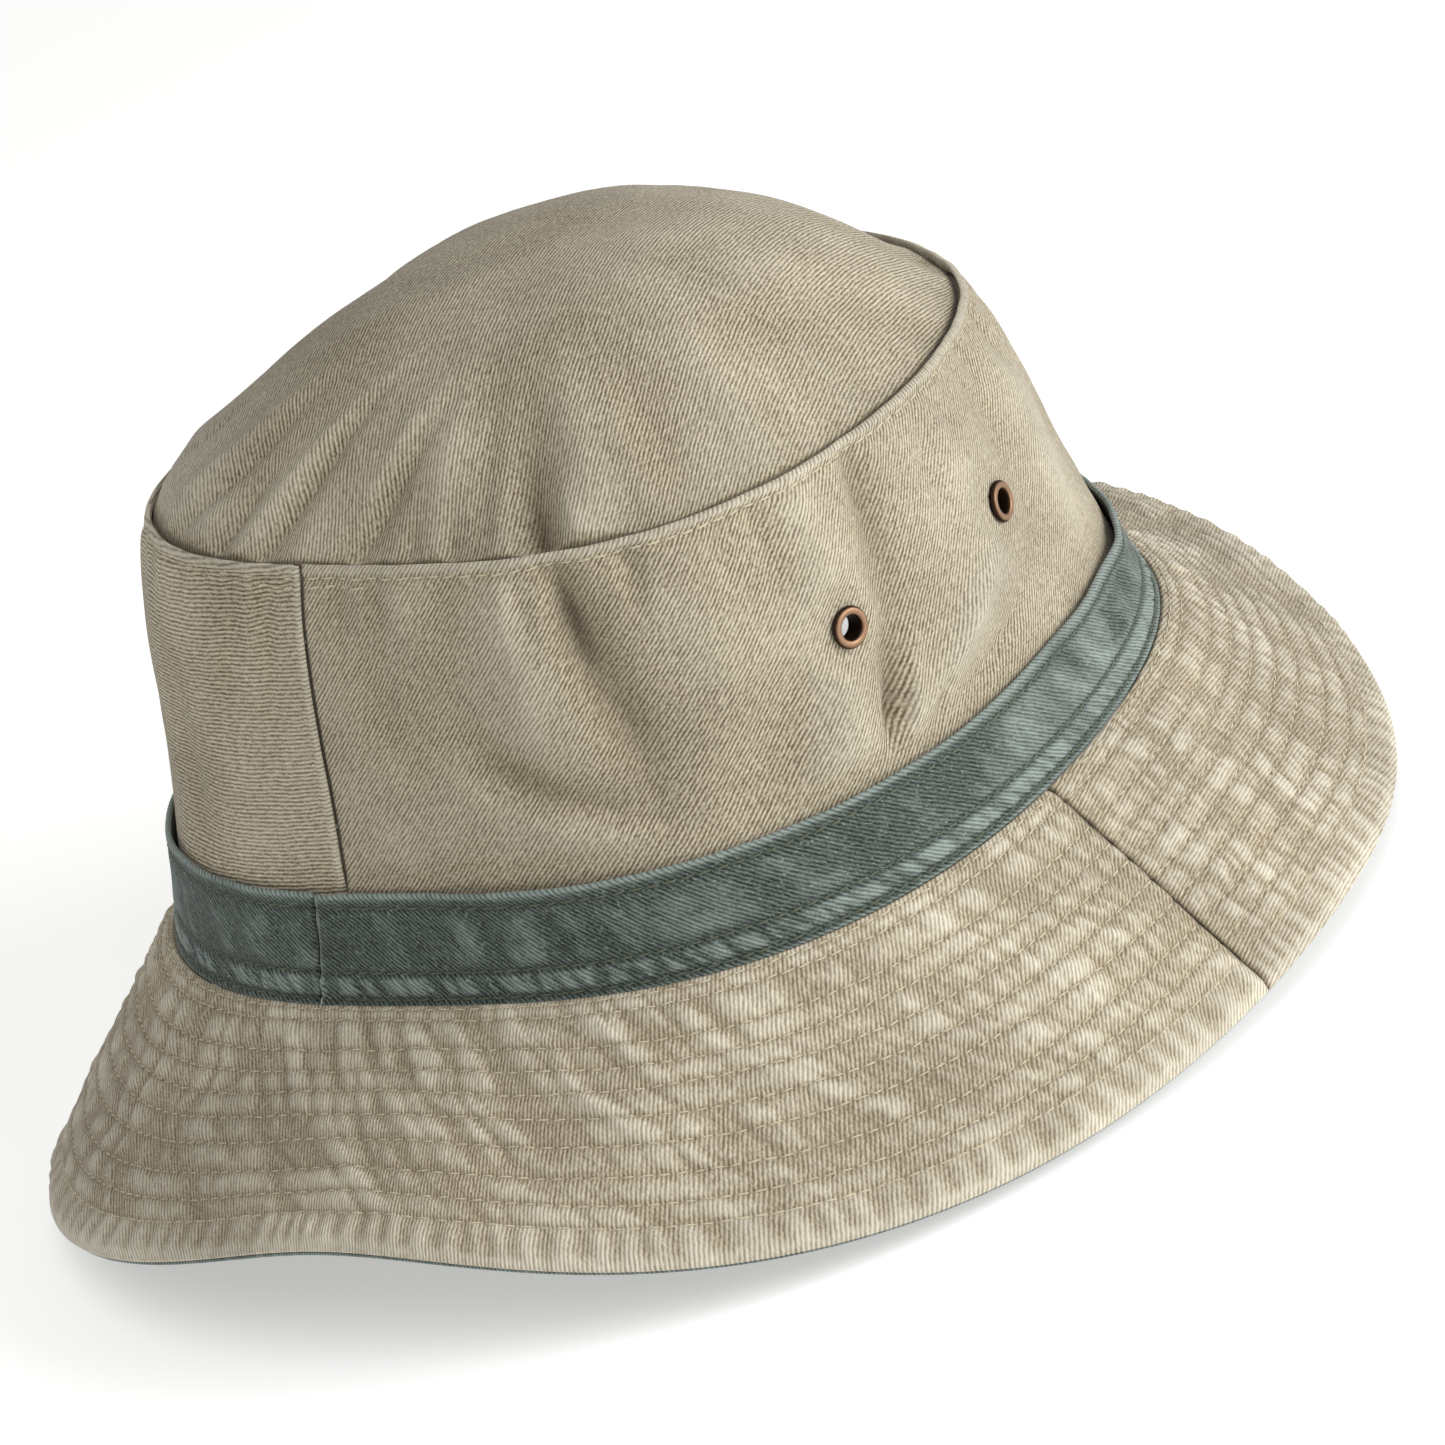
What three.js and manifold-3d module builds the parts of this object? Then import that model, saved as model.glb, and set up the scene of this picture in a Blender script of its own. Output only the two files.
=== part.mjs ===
// A washed cotton bucket hat, cut and sewn from separate panels: a domed oval tip, two side
// panels with eyelets, a contrast band, and a stitched brim of two halves in three layers.
// Millimetres, +Z up, +Y towards the wearer's back, +X towards the wearer's left.
// Every cloth piece is a flat panel that is bent onto the hat, so layers follow one another.

import * as THREE from 'three';
import { mergeVertices } from 'three/addons/utils/BufferGeometryUtils.js';
import Module from 'manifold-3d';

// Crown wall: an oval at the brim seam and a smaller one at the tip seam.
const BASE_LENGTH = 201;
const BASE_WIDTH = 176;
const TIP_LENGTH = 159;
const TIP_WIDTH = 146;
const WALL_HEIGHT = 81;
const SHOULDER = 2; // how far the wall bulges just below the tip seam
const LEAN_LEFT = -5; // shift of the tip seam against the brim seam
const LEAN_BACK = 6;
const TILT_LEFT = 2; // rise of the tip seam towards each direction
const TILT_BACK = 3.3;
const EGG_SHARE = 0.03; // three-sided part of the oval, as a share of its radius
const EGG_TURN = 52;
const SQUARE_SHARE = 0.034; // four-sided part of the oval
const SQUARE_TURN = -38;

// Domed tip panel.
const DOME_RISE = 30;
const DOME_FULLNESS = 3.1; // a larger value keeps the dome flat further out
const DOME_FLARE = 1.3; // above 1 the dome runs out level at the seam
const PEAK_LEFT = -7; // where the top of the dome lies, from the middle of the tip seam
const TIP_INSET = 1; // the tip lies this far below the folded edge of the side panels

// Brim: its slope below the horizontal changes slowly on the way round.
const BRIM_WIDTH = 55;
const BRIM_DROOP = 41;
const BRIM_WAVES = [
  { turns: 1, droop: 1.8, at: -20 },
  { turns: 2, droop: 13.5, at: 9 },
  { turns: 3, droop: 2.1, at: 15 },
  { turns: 4, droop: 5.3, at: -33 },
];

// Cloth thicknesses and clearances.
const TWILL = 1;
const BAND_CLOTH = 1.2; // the band's edges are folded, so it is two layers thick
const BRIM_CLOTH = 0.9;
const INTERLINING = 0.8;
const SWEATBAND_CLOTH = 1.2;
const TAPE = 0.8;
const GAP = 0.3;
const JOIN_GAP = 0.5; // between the two ends of panels that meet at a seam

// Widths of the bands and tapes.
const BAND_WIDTH = 21.5;
const SWEATBAND_WIDTH = 32;
const TIP_TAPE_WIDTH = 10;
const SEAM_TAPE_WIDTH = 12;
const BRIM_EDGE_TURN = 1.5; // the interlining stops this far inside both brim edges

// Eyelets, two on each side of the crown.
const EYELET_HOLE = 4.5;
const EYELET_WALL = 0.5;
const EYELET_FLANGE = 7.9;
const EYELET_FLANGE_RISE = 0.9;
const EYELET_CURL = 7; // diameter of the clenched end inside the crown
const WASHER_DIAMETER = 9;
const WASHER_THICKNESS = 0.5;
const EYELET_SPREAD = 16.5; // degrees each side of the middle of the side panel
const EYELET_RAISE = 0.6; // above the middle of the wall between the sweatband and the tip tape
const EYELET_CLEARANCE = 0.4; // over the curve and the flats of the wall

// Mesh fineness.
const HALF_STEPS = 24;
const RING_STEPS = 2 * HALF_STEPS;
const DOME_STEPS = 7;
const EYELET_STEPS = 20;

const FRONT = -90;
const BACK = 90;
const LEFT = 0;
const RIGHT = 180;
const TIP_TAPE_TOP = WALL_HEIGHT - TIP_INSET - TWILL - 4 * GAP;
const TIP_TAPE_FOOT = TIP_TAPE_TOP - TIP_TAPE_WIDTH;
const EYELET_HEIGHT = (SWEATBAND_WIDTH + TIP_TAPE_FOOT) / 2 + EYELET_RAISE;
const UP = new THREE.Vector3(0, 0, 1);
const wasm = await Module();
wasm.setup();

function finish(color, roughness, metalness = 0) {
  return { color, roughness, metalness };
}

const KHAKI = finish(0xb3a88f, 0.92);
const BRIM_KHAKI = finish(0xb9ad93, 0.93);
const GREEN = finish(0x5b645c, 0.92);
const SWEATBAND_COTTON = finish(0x9c927b, 0.9);
const INTERLINING_FELT = finish(0xd9d5cb, 0.95);
const BINDING = finish(0x8f8670, 0.9);
const OLD_BRASS = finish(0x6e533a, 0.42, 0.9);

function turn(degrees) {
  return THREE.MathUtils.degToRad(degrees);
}

function roundness(angle) {
  const egg = EGG_SHARE * Math.cos(3 * (angle - turn(EGG_TURN)));
  const square = SQUARE_SHARE * Math.cos(4 * (angle - turn(SQUARE_TURN)));
  return 1 + egg + square;
}

// A point of the horizontal oval at a share of the way from the brim seam to the tip seam.
function ovalPoint(angle, share) {
  const length = THREE.MathUtils.lerp(BASE_LENGTH, TIP_LENGTH, share);
  const width = THREE.MathUtils.lerp(BASE_WIDTH, TIP_WIDTH, share);
  const reach = roundness(angle) / 2;
  const x = width * reach * Math.cos(angle) + LEAN_LEFT * share;
  const y = length * reach * Math.sin(angle) + LEAN_BACK * share;
  return new THREE.Vector3(x, y, 0);
}

// The level direction that points out of the oval of the brim seam.
function outward(angle) {
  const step = 1e-4;
  const along = ovalPoint(angle + step, 0).sub(ovalPoint(angle - step, 0));
  return new THREE.Vector3(along.y, -along.x, 0).normalize();
}

// A point on the crown wall, a distance up from the brim seam and a distance out of its face.
function wallPoint(angle, height, out) {
  const share = height / WALL_HEIGHT;
  const tilt = TILT_LEFT * Math.cos(angle) + TILT_BACK * Math.sin(angle);
  const bulge = SHOULDER * Math.sin(Math.PI * share ** 3);
  const point = ovalPoint(angle, share);
  point.addScaledVector(outward(angle), out + bulge);
  point.z = height + share * tilt;
  return point;
}

function droopAt(angle) {
  let droop = BRIM_DROOP;
  for (const wave of BRIM_WAVES) {
    droop += wave.droop * Math.cos(wave.turns * (angle - turn(wave.at)));
  }
  return turn(droop);
}

// A point of the brim, a distance out from its seam and a distance above its middle layer.
function brimPoint(angle, distance, rise) {
  const start = wallPoint(angle, 0, BAND_CLOTH + 2 * GAP);
  const level = outward(angle);
  const droop = droopAt(angle);
  const slope = level.clone().multiplyScalar(Math.cos(droop)).addScaledVector(UP, -Math.sin(droop));
  const above = level.clone().multiplyScalar(Math.sin(droop)).addScaledVector(UP, Math.cos(droop));
  return start.addScaledVector(slope, distance).addScaledVector(above, rise);
}

// A point of the domed tip, at a share of the way from its middle to its seam.
function domePoint(angle, share, depth) {
  const rim = wallPoint(angle, WALL_HEIGHT, -TWILL - GAP);
  const middle = new THREE.Vector3(LEAN_LEFT, LEAN_BACK, WALL_HEIGHT);
  const point = middle.lerp(rim, share);
  const rise = Math.max(0, 1 - share ** DOME_FULLNESS);
  point.x += PEAK_LEFT * (1 - share ** 2);
  point.z += DOME_RISE * rise ** DOME_FLARE - TIP_INSET - depth;
  return point;
}

function onlyPositions(geometry) {
  geometry.deleteAttribute('normal');
  geometry.deleteAttribute('uv');
  return mergeVertices(geometry, 1e-4);
}

function moveVertices(geometry, place) {
  const positions = geometry.attributes.position;
  const vertex = new THREE.Vector3();
  for (let i = 0; i < positions.count; i++) {
    vertex.fromBufferAttribute(positions, i);
    const target = place(vertex);
    positions.setXYZ(i, target.x, target.y, target.z);
  }
  return geometry;
}

// Cuts the squares of a box's back face along the same diagonals as those of its front face, so
// that twisted layers of cloth stay parallel.
function matchDiagonals(box) {
  const backFace = box.groups[box.groups.length - 1];
  const corners = box.index;
  for (let i = backFace.start; i < backFace.start + backFace.count; i += 6) {
    corners.setX(i + 2, corners.getX(i + 4));
    corners.setX(i + 3, corners.getX(i));
  }
  return box;
}

// A strip of cloth: a flat panel from one angle to another, low to high across its width and
// inner to outer through its thickness, bent onto the hat by the given surface.
function bentPanel(surface, from, to, low, high, inner, outer, steps, rows) {
  const panel = onlyPositions(matchDiagonals(new THREE.BoxGeometry(1, 1, 1, steps, rows, 1)));
  return moveVertices(panel, (flat) => {
    const angle = turn(THREE.MathUtils.lerp(from, to, flat.x + 0.5));
    const across = THREE.MathUtils.lerp(low, high, flat.y + 0.5);
    const through = THREE.MathUtils.lerp(inner, outer, flat.z + 0.5);
    return surface(angle, across, through);
  });
}

// The angle that a length along the brim seam covers near a direction.
function angleFor(length, direction) {
  const step = 0.5;
  const chord = ovalPoint(turn(direction + step), 0).distanceTo(ovalPoint(turn(direction - step), 0));
  return (length / chord) * 2 * step;
}

function panelEnds(from, to, gap) {
  return [from + angleFor(gap, from) / 2, to - angleFor(gap, to) / 2];
}

function toSolid(geometry) {
  const vertProperties = new Float32Array(geometry.attributes.position.array);
  const triVerts = new Uint32Array(geometry.index.array);
  return new wasm.Manifold(new wasm.Mesh({ numProp: 3, vertProperties, triVerts }));
}

function fromSolid(solid) {
  const { vertProperties, triVerts } = solid.getMesh();
  const geometry = new THREE.BufferGeometry();
  geometry.setAttribute('position', new THREE.BufferAttribute(vertProperties, 3));
  geometry.setIndex(new THREE.BufferAttribute(triVerts, 1));
  return geometry;
}

function piece(name, geometry, look) {
  const mesh = new THREE.Mesh(geometry, new THREE.MeshStandardMaterial(look));
  mesh.name = name;
  return mesh;
}

// Turns a shape made along +Z so that it stands out of the crown wall at an eyelet's place.
function standOnWall(geometry, angle) {
  const step = 0.5;
  const place = wallPoint(angle, EYELET_HEIGHT, 0);
  const above = wallPoint(angle, EYELET_HEIGHT + step, 0);
  const beside = wallPoint(angle + turn(step), EYELET_HEIGHT, 0);
  const rise = above.sub(place).normalize();
  const along = beside.sub(place);
  const facing = along.cross(rise).normalize();
  const side = rise.clone().cross(facing).normalize();
  const basis = new THREE.Matrix4().makeBasis(side, rise, facing).setPosition(place);
  return geometry.applyMatrix4(basis);
}

// A ring about +Z from a closed outline of [radius, height] corners.
function turnedRing(corners, steps) {
  const outline = [...corners, corners[0]].map(([radius, height]) => new THREE.Vector2(radius, height));
  const ring = onlyPositions(new THREE.LatheGeometry(outline, steps));
  return ring.rotateX(Math.PI / 2);
}

function eyeletGeometry(angle) {
  const inside = EYELET_HOLE / 2;
  const barrel = inside + EYELET_WALL;
  const flange = EYELET_FLANGE / 2;
  const curl = EYELET_CURL / 2;
  const face = EYELET_CLEARANCE;
  const crown = face + EYELET_FLANGE_RISE;
  const washerBack = -TWILL - 2 * EYELET_CLEARANCE - WASHER_THICKNESS;
  const curlFace = washerBack - GAP;
  const corners = [
    [inside, curlFace - EYELET_WALL],
    [curl, curlFace - EYELET_WALL],
    [curl, curlFace],
    [barrel, curlFace],
    [barrel, face],
    [flange, face],
    [flange - EYELET_WALL / 2, crown - EYELET_WALL / 2],
    [flange - 2 * EYELET_WALL, crown],
    [inside + EYELET_WALL, crown - EYELET_WALL / 2],
    [inside, face],
  ];
  return standOnWall(turnedRing(corners, EYELET_STEPS), angle);
}

function washerGeometry(angle) {
  const hole = EYELET_HOLE / 2 + EYELET_WALL + GAP;
  const rim = WASHER_DIAMETER / 2;
  const face = -TWILL - 2 * EYELET_CLEARANCE;
  const corners = [
    [hole, face - WASHER_THICKNESS],
    [rim, face - WASHER_THICKNESS],
    [rim, face],
    [hole, face],
  ];
  return standOnWall(turnedRing(corners, EYELET_STEPS), angle);
}

function eyeletHole(angle) {
  const radius = EYELET_HOLE / 2 + EYELET_WALL + GAP;
  const reach = 3 * TWILL;
  const corners = [
    [0, -reach],
    [radius, -reach],
    [radius, reach],
    [0, reach],
  ];
  return standOnWall(turnedRing(corners, EYELET_STEPS), angle);
}

function eyeletAngles(middle) {
  return [turn(middle - EYELET_SPREAD), turn(middle + EYELET_SPREAD)];
}

function sidePanel(name, from, to, middle) {
  const [start, end] = panelEnds(from, to, JOIN_GAP);
  const rows = 6;
  const panel = bentPanel(wallPoint, start, end, 2 * GAP, WALL_HEIGHT, -TWILL, 0, HALF_STEPS, rows);
  let solid = toSolid(panel);
  for (const angle of eyeletAngles(middle)) {
    solid = solid.subtract(toSolid(eyeletHole(angle)));
  }
  return piece(name, fromSolid(solid), KHAKI);
}

function tipPanel() {
  const corners = [];
  for (let i = 0; i <= DOME_STEPS; i++) {
    corners.push(new THREE.Vector2(i / DOME_STEPS, -TWILL));
  }
  for (let i = DOME_STEPS; i >= 0; i--) {
    corners.push(new THREE.Vector2(i / DOME_STEPS, 0));
  }
  const disc = onlyPositions(new THREE.LatheGeometry(corners, RING_STEPS)).rotateX(Math.PI / 2);
  moveVertices(disc, (flat) => domePoint(Math.atan2(flat.y, flat.x), Math.hypot(flat.x, flat.y), -flat.z));
  return piece('crown_tip', disc, KHAKI);
}

function tipSeamTape() {
  const [start, end] = panelEnds(BACK, BACK + 360, JOIN_GAP);
  const outer = -TWILL - GAP;
  const inner = outer - TAPE;
  const tape = bentPanel(wallPoint, start, end, TIP_TAPE_FOOT, TIP_TAPE_TOP, inner, outer, RING_STEPS, 1);
  return piece('tip_seam_tape', tape, BINDING);
}

// A short tape that covers the seam between the side panels, from the sweatband to the tip tape.
function sideSeamTape(name, middle) {
  const half = angleFor(SEAM_TAPE_WIDTH, middle) / 2;
  const low = SWEATBAND_WIDTH + 4 * GAP;
  const high = TIP_TAPE_FOOT - 3 * GAP;
  const outer = -TWILL - 2 * GAP;
  const rows = 3;
  const tape = bentPanel(wallPoint, middle - half, middle + half, low, high, outer - TAPE, outer, 2, rows);
  return piece(name, tape, BINDING);
}

function hatBand() {
  const [start, end] = panelEnds(BACK, BACK + 360, JOIN_GAP);
  const low = 3 * GAP;
  const band = bentPanel(wallPoint, start, end, low, BAND_WIDTH, GAP, GAP + BAND_CLOTH, RING_STEPS, 2);
  return piece('hat_band', band, GREEN);
}

function sweatband() {
  const [start, end] = panelEnds(BACK, BACK + 360, JOIN_GAP);
  const outer = -TWILL - GAP;
  const inner = outer - SWEATBAND_CLOTH;
  const band = bentPanel(wallPoint, start, end, 2 * GAP, SWEATBAND_WIDTH, inner, outer, RING_STEPS, 2);
  return piece('sweatband', band, SWEATBAND_COTTON);
}

// One layer of one half of the brim. Its width runs from the edge in to the seam.
function brimHalf(name, from, to, inset, bottom, top, look) {
  const [start, end] = panelEnds(from, to, JOIN_GAP);
  const rows = 3;
  const half = bentPanel(brimPoint, start, end, BRIM_WIDTH - inset, inset, bottom, top, HALF_STEPS, rows);
  return piece(name, half, look);
}

function brimLayers(side, from, to) {
  const core = INTERLINING / 2;
  const face = core + GAP;
  return [
    brimHalf(`brim_top_${side}`, from, to, 0, face, face + BRIM_CLOTH, BRIM_KHAKI),
    brimHalf(`brim_interlining_${side}`, from, to, BRIM_EDGE_TURN, -core, core, INTERLINING_FELT),
    brimHalf(`under_brim_${side}`, from, to, 0, -face - BRIM_CLOTH, -face, GREEN),
  ];
}

function eyeletPair(side, middle) {
  const names = side === 'left' ? ['front', 'back'] : ['back', 'front'];
  const pieces = [];
  eyeletAngles(middle).forEach((angle, i) => {
    pieces.push(piece(`eyelet_${side}_${names[i]}`, eyeletGeometry(angle), OLD_BRASS));
    pieces.push(piece(`eyelet_washer_${side}_${names[i]}`, washerGeometry(angle), OLD_BRASS));
  });
  return pieces;
}

const crown = new THREE.Group();
crown.add(tipPanel());
crown.add(sidePanel('crown_side_left', FRONT, BACK, LEFT));
crown.add(sidePanel('crown_side_right', BACK, BACK + 180, RIGHT));
crown.add(tipSeamTape());
crown.add(sideSeamTape('back_seam_tape', BACK));
crown.add(sideSeamTape('front_seam_tape', FRONT));
crown.add(sweatband());
crown.add(hatBand());

const brim = new THREE.Group();
brim.add(...brimLayers('back', LEFT, RIGHT));
brim.add(...brimLayers('front', RIGHT, RIGHT + 180));

const eyelets = new THREE.Group();
eyelets.add(...eyeletPair('left', LEFT));
eyelets.add(...eyeletPair('right', RIGHT));

// The hat stands on its brim edge, with the origin under the middle of its outline.
const hat = new THREE.Group();
hat.add(crown, brim, eyelets);
const outline = new THREE.Box3().setFromObject(hat, true);
const middle = outline.getCenter(new THREE.Vector3());
hat.position.set(-middle.x, -middle.y, -outline.min.z);

export default hat;
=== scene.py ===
"""A washed cotton bucket hat, laid out as a Blender add-on and run as a script.

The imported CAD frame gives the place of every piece. The cloth panels are worked out with numpy on
the same surfaces as the CAD model, with the puckers, folds and worn edges of a hat that has been
washed many times. Lengths are in metres, and MM turns millimetres into metres. Directions are
angles seen from above: 0 is the wearer's left, 90 degrees the back, 180 the right, 270 the front.
"""

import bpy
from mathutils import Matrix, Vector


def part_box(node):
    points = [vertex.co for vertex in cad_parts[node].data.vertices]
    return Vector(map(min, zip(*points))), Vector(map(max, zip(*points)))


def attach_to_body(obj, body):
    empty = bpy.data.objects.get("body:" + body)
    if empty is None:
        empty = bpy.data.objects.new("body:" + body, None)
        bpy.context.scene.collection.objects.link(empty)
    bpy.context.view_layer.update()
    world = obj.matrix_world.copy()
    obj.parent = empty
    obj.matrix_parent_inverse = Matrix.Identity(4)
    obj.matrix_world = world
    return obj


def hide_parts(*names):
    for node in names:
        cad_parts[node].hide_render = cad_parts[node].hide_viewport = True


bl_info = {
    "name": "Washed Cotton Bucket Hat",
    "version": (1, 0, 0),
    "blender": (4, 5, 0),
    "location": "View3D > Sidebar > Hat",
    "description": "Builds a stitched bucket hat of separate cloth panels around its CAD frame",
    "category": "Object",
}

import bpy
import numpy as np
from bpy.props import FloatProperty, FloatVectorProperty, IntProperty, PointerProperty
from mathutils import Matrix, Vector

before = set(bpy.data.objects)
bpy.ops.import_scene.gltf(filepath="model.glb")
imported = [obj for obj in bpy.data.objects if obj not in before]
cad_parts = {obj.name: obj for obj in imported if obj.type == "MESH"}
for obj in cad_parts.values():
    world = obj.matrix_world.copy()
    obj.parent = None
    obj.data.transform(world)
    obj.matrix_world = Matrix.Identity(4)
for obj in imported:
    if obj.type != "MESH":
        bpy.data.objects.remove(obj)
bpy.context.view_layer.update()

MM = 0.001
BODY = "root"
FULL_TURN = 2 * np.pi
LEFT, BACK, RIGHT, FRONT = np.radians((0, 90, 180, 270))
TIP_REACH = 76 * MM  # mean distance from the middle of the tip to its seam
SEAM_TO_WALL = 0.9  # girth of the middle of the wall, as a share of the girth of the brim seam
TAPER = 0.2 / (81 * MM)  # loss of girth of the wall with height, as a share of the brim seam's


def size(name, description, millimetres):
    return FloatProperty(
        name=name, description=description, default=millimetres * MM, unit="LENGTH", precision=5
    )


def angle(name, description, degrees):
    return FloatProperty(
        name=name, description=description, default=np.radians(degrees), subtype="ANGLE"
    )


def share(name, description, part):
    return FloatProperty(name=name, description=description, default=part, precision=3)


def colour(name, description, red, green, blue):
    """A colour given as it looks on a screen, 0 to 255, kept as the light that it stands for."""
    seen = np.array((red, green, blue)) / 255
    light = np.where(seen < 0.04045, seen / 12.92, ((seen + 0.055) / 1.055) ** 2.4)
    return FloatVectorProperty(
        name=name, description=description, default=light.tolist(), subtype="COLOR", min=0, max=1
    )


class HatShape(bpy.types.PropertyGroup):
    """Overall shape of the crown and the brim."""

    base_length: size("Base length", "Front to back across the brim seam", 201)
    base_width: size("Base width", "Side to side across the brim seam", 176)
    tip_length: size("Tip length", "Front to back across the tip seam", 159)
    tip_width: size("Tip width", "Side to side across the tip seam", 146)
    wall_height: size("Wall height", "Brim seam to tip seam", 81)
    shoulder: size("Shoulder", "Bulge of the wall just below the tip seam", 2)
    lean_left: size("Lean left", "Shift of the tip seam to the wearer's left", -5)
    lean_back: size("Lean back", "Shift of the tip seam to the back", 6)
    tilt_left: size("Tilt left", "Rise of the tip seam on the left", 2)
    tilt_back: size("Tilt back", "Rise of the tip seam at the back", 3.3)
    egg_share: share("Egg share", "Three-sided part of the oval", 0.03)
    egg_turn: angle("Egg turn", "Direction of the three-sided part", 52)
    square_share: share("Square share", "Four-sided part of the oval", 0.034)
    square_turn: angle("Square turn", "Direction of the four-sided part", -38)
    dome_rise: size("Dome rise", "Height of the tip over its seam", 30)
    dome_fullness: share("Dome fullness", "Larger keeps the tip flat further out", 3.1)
    dome_flare: share("Dome flare", "Above 1 the tip runs out level at its seam", 1.3)
    peak_left: size("Peak left", "Shift of the top of the dome to the left", -7)
    tip_inset: size("Tip inset", "Depth of the tip under the side panels' top edge", 1)
    brim_width: size("Brim width", "Brim seam to brim edge along the cloth", 55)
    brim_droop: angle("Brim droop", "Mean slope of the brim under the horizontal", 41)
    brim_waves: FloatVectorProperty(
        name="Brim waves",
        description="Change of droop that repeats once, twice, three and four times around",
        default=np.radians((1.8, 13.5, 2.1, 5.3)).tolist(),
        size=4,
        unit="ROTATION",
    )
    brim_wave_turns: FloatVectorProperty(
        name="Brim wave turns",
        description="Direction where each wave of the brim droops most",
        default=np.radians((-20, 9, 15, -33)).tolist(),
        size=4,
        unit="ROTATION",
    )


class HatCloth(bpy.types.PropertyGroup):
    """Thicknesses, clearances and widths of the cloth pieces."""

    twill: size("Twill", "Thickness of the crown cloth", 1)
    band_cloth: size("Band cloth", "Thickness of the folded band", 1.2)
    brim_cloth: size("Brim cloth", "Thickness of one brim layer", 0.9)
    interlining: size("Interlining", "Thickness of the stiff layer in the brim", 0.8)
    sweatband_cloth: size("Sweatband cloth", "Thickness of the sweatband", 1.2)
    tape: size("Tape", "Thickness of the seam tapes", 0.8)
    gap: size("Gap", "Clearance between layers", 0.3)
    join_gap: size("Join gap", "Clearance between panel ends", 0.5)
    band_width: size("Band width", "Height of the contrast band", 21.5)
    sweatband_width: size("Sweatband width", "Height of the sweatband", 32)
    tip_tape_width: size("Tip tape width", "Height of the tape at the tip seam", 10)
    seam_tape_width: size("Seam tape width", "Width of the tapes at the side panel seams", 12)
    edge_turn: size("Edge turn", "The interlining stops this far inside the brim edges", 1.5)
    right_grain: angle("Right grain", "Run of the twill on the right side panel", 44)
    left_grain: angle("Left grain", "Run of the twill on the left side panel", 4)
    tip_grain: angle("Tip grain", "Run of the twill on the tip", -71)
    band_grain: angle("Band grain", "Run of the twill on the band", -37)
    back_brim_grain: angle("Back brim grain", "Run of the twill on the back half of the brim", 65)
    front_brim_grain: angle("Front brim grain", "Run of the twill on the front brim half", 54)
    band_join: angle("Band join", "Direction of the join in the band", 85)


class HatEyelets(bpy.types.PropertyGroup):
    """Ventilation eyelets, two on each side of the crown."""

    hole: size("Hole", "Diameter of the open hole", 4.5)
    wall: size("Wall", "Thickness of the metal", 0.5)
    flange: size("Flange", "Diameter of the face", 7.9)
    flange_rise: size("Flange rise", "Height of the rounded face", 0.9)
    curl: size("Curl", "Diameter of the clenched end inside", 7)
    washer: size("Washer", "Diameter of the washer inside", 9)
    washer_thickness: size("Washer thickness", "Thickness of the washer", 0.5)
    spread: angle("Spread", "Turn from the middle of the side panel", 16.5)
    lift: size("Lift", "Height over the middle of the free wall", 0.6)
    clearance: size("Clearance", "Over the curve of the wall", 0.4)
    steps: IntProperty(name="Steps", description="Points around a ring", default=56)


class HatStitches(bpy.types.PropertyGroup):
    """Rows of topstitching and the thread that makes them."""

    pitch: size("Pitch", "Distance from stitch to stitch", 3.2)
    visible: size("Visible", "Length of thread between two needle holes", 2.7)
    thread: size("Thread", "Diameter of the thread", 0.36)
    tip_row: size("Tip row", "Row below the tip seam", 2.1)
    band_top_row: size("Band top row", "Row below the top edge of the band", 2.6)
    band_low_row: size("Band low row", "Row above the bottom edge of the band", 1.6)
    band_middle_row: size("Band middle row", "Second row above the bottom edge", 6.4)
    brim_rows: FloatVectorProperty(
        name="Brim rows",
        description="Distances of the rows from the brim seam",
        default=(np.array((1.3, 4, 10.5, 15.3, 20, 25.3, 31, 37.2, 42.6, 47.3)) * MM).tolist(),
        size=10,
        unit="LENGTH",
        precision=5,
    )


class HatColours(bpy.types.PropertyGroup):
    """Colours of the cloths, threads and metal."""

    # Each groove colour also serves as the painted shade in the hollows, creases and seams of its
    # twill.
    crown_ridge: colour("Crown ridge", "Top of the crown twill's ribs", 198, 187, 163)
    crown_groove: colour("Crown groove", "Between the crown twill's ribs", 102, 90, 67)
    crown_worn: colour("Crown worn", "Crown twill on worn edges", 205, 198, 181)
    brim_ridge: colour("Brim ridge", "Top of the brim twill's ribs", 192, 181, 158)
    brim_groove: colour("Brim groove", "Between the brim twill's ribs", 122, 108, 84)
    brim_worn: colour("Brim worn", "Brim twill on worn crests", 218, 211, 193)
    green_ridge: colour("Green ridge", "Top of the green twill's ribs", 97, 108, 101)
    green_groove: colour("Green groove", "Between the green twill's ribs", 34, 41, 36)
    green_worn: colour("Green worn", "Green twill on worn edges", 152, 164, 158)
    thread: colour("Thread", "Topstitching on the khaki cloth", 200, 189, 163)
    band_thread: colour("Band thread", "Topstitching on the band", 96, 100, 82)
    sweatband: colour("Sweatband", "Cotton inside the crown", 156, 146, 123)
    interlining: colour("Interlining", "Felt inside the brim", 217, 213, 203)
    tape: colour("Tape", "Seam binding", 143, 134, 112)
    patina: colour("Patina", "Darkened metal", 62, 46, 35)
    metal: colour("Metal", "Bright worn metal", 146, 116, 92)
    floor: colour("Floor", "Studio floor", 249, 249, 248)


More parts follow.
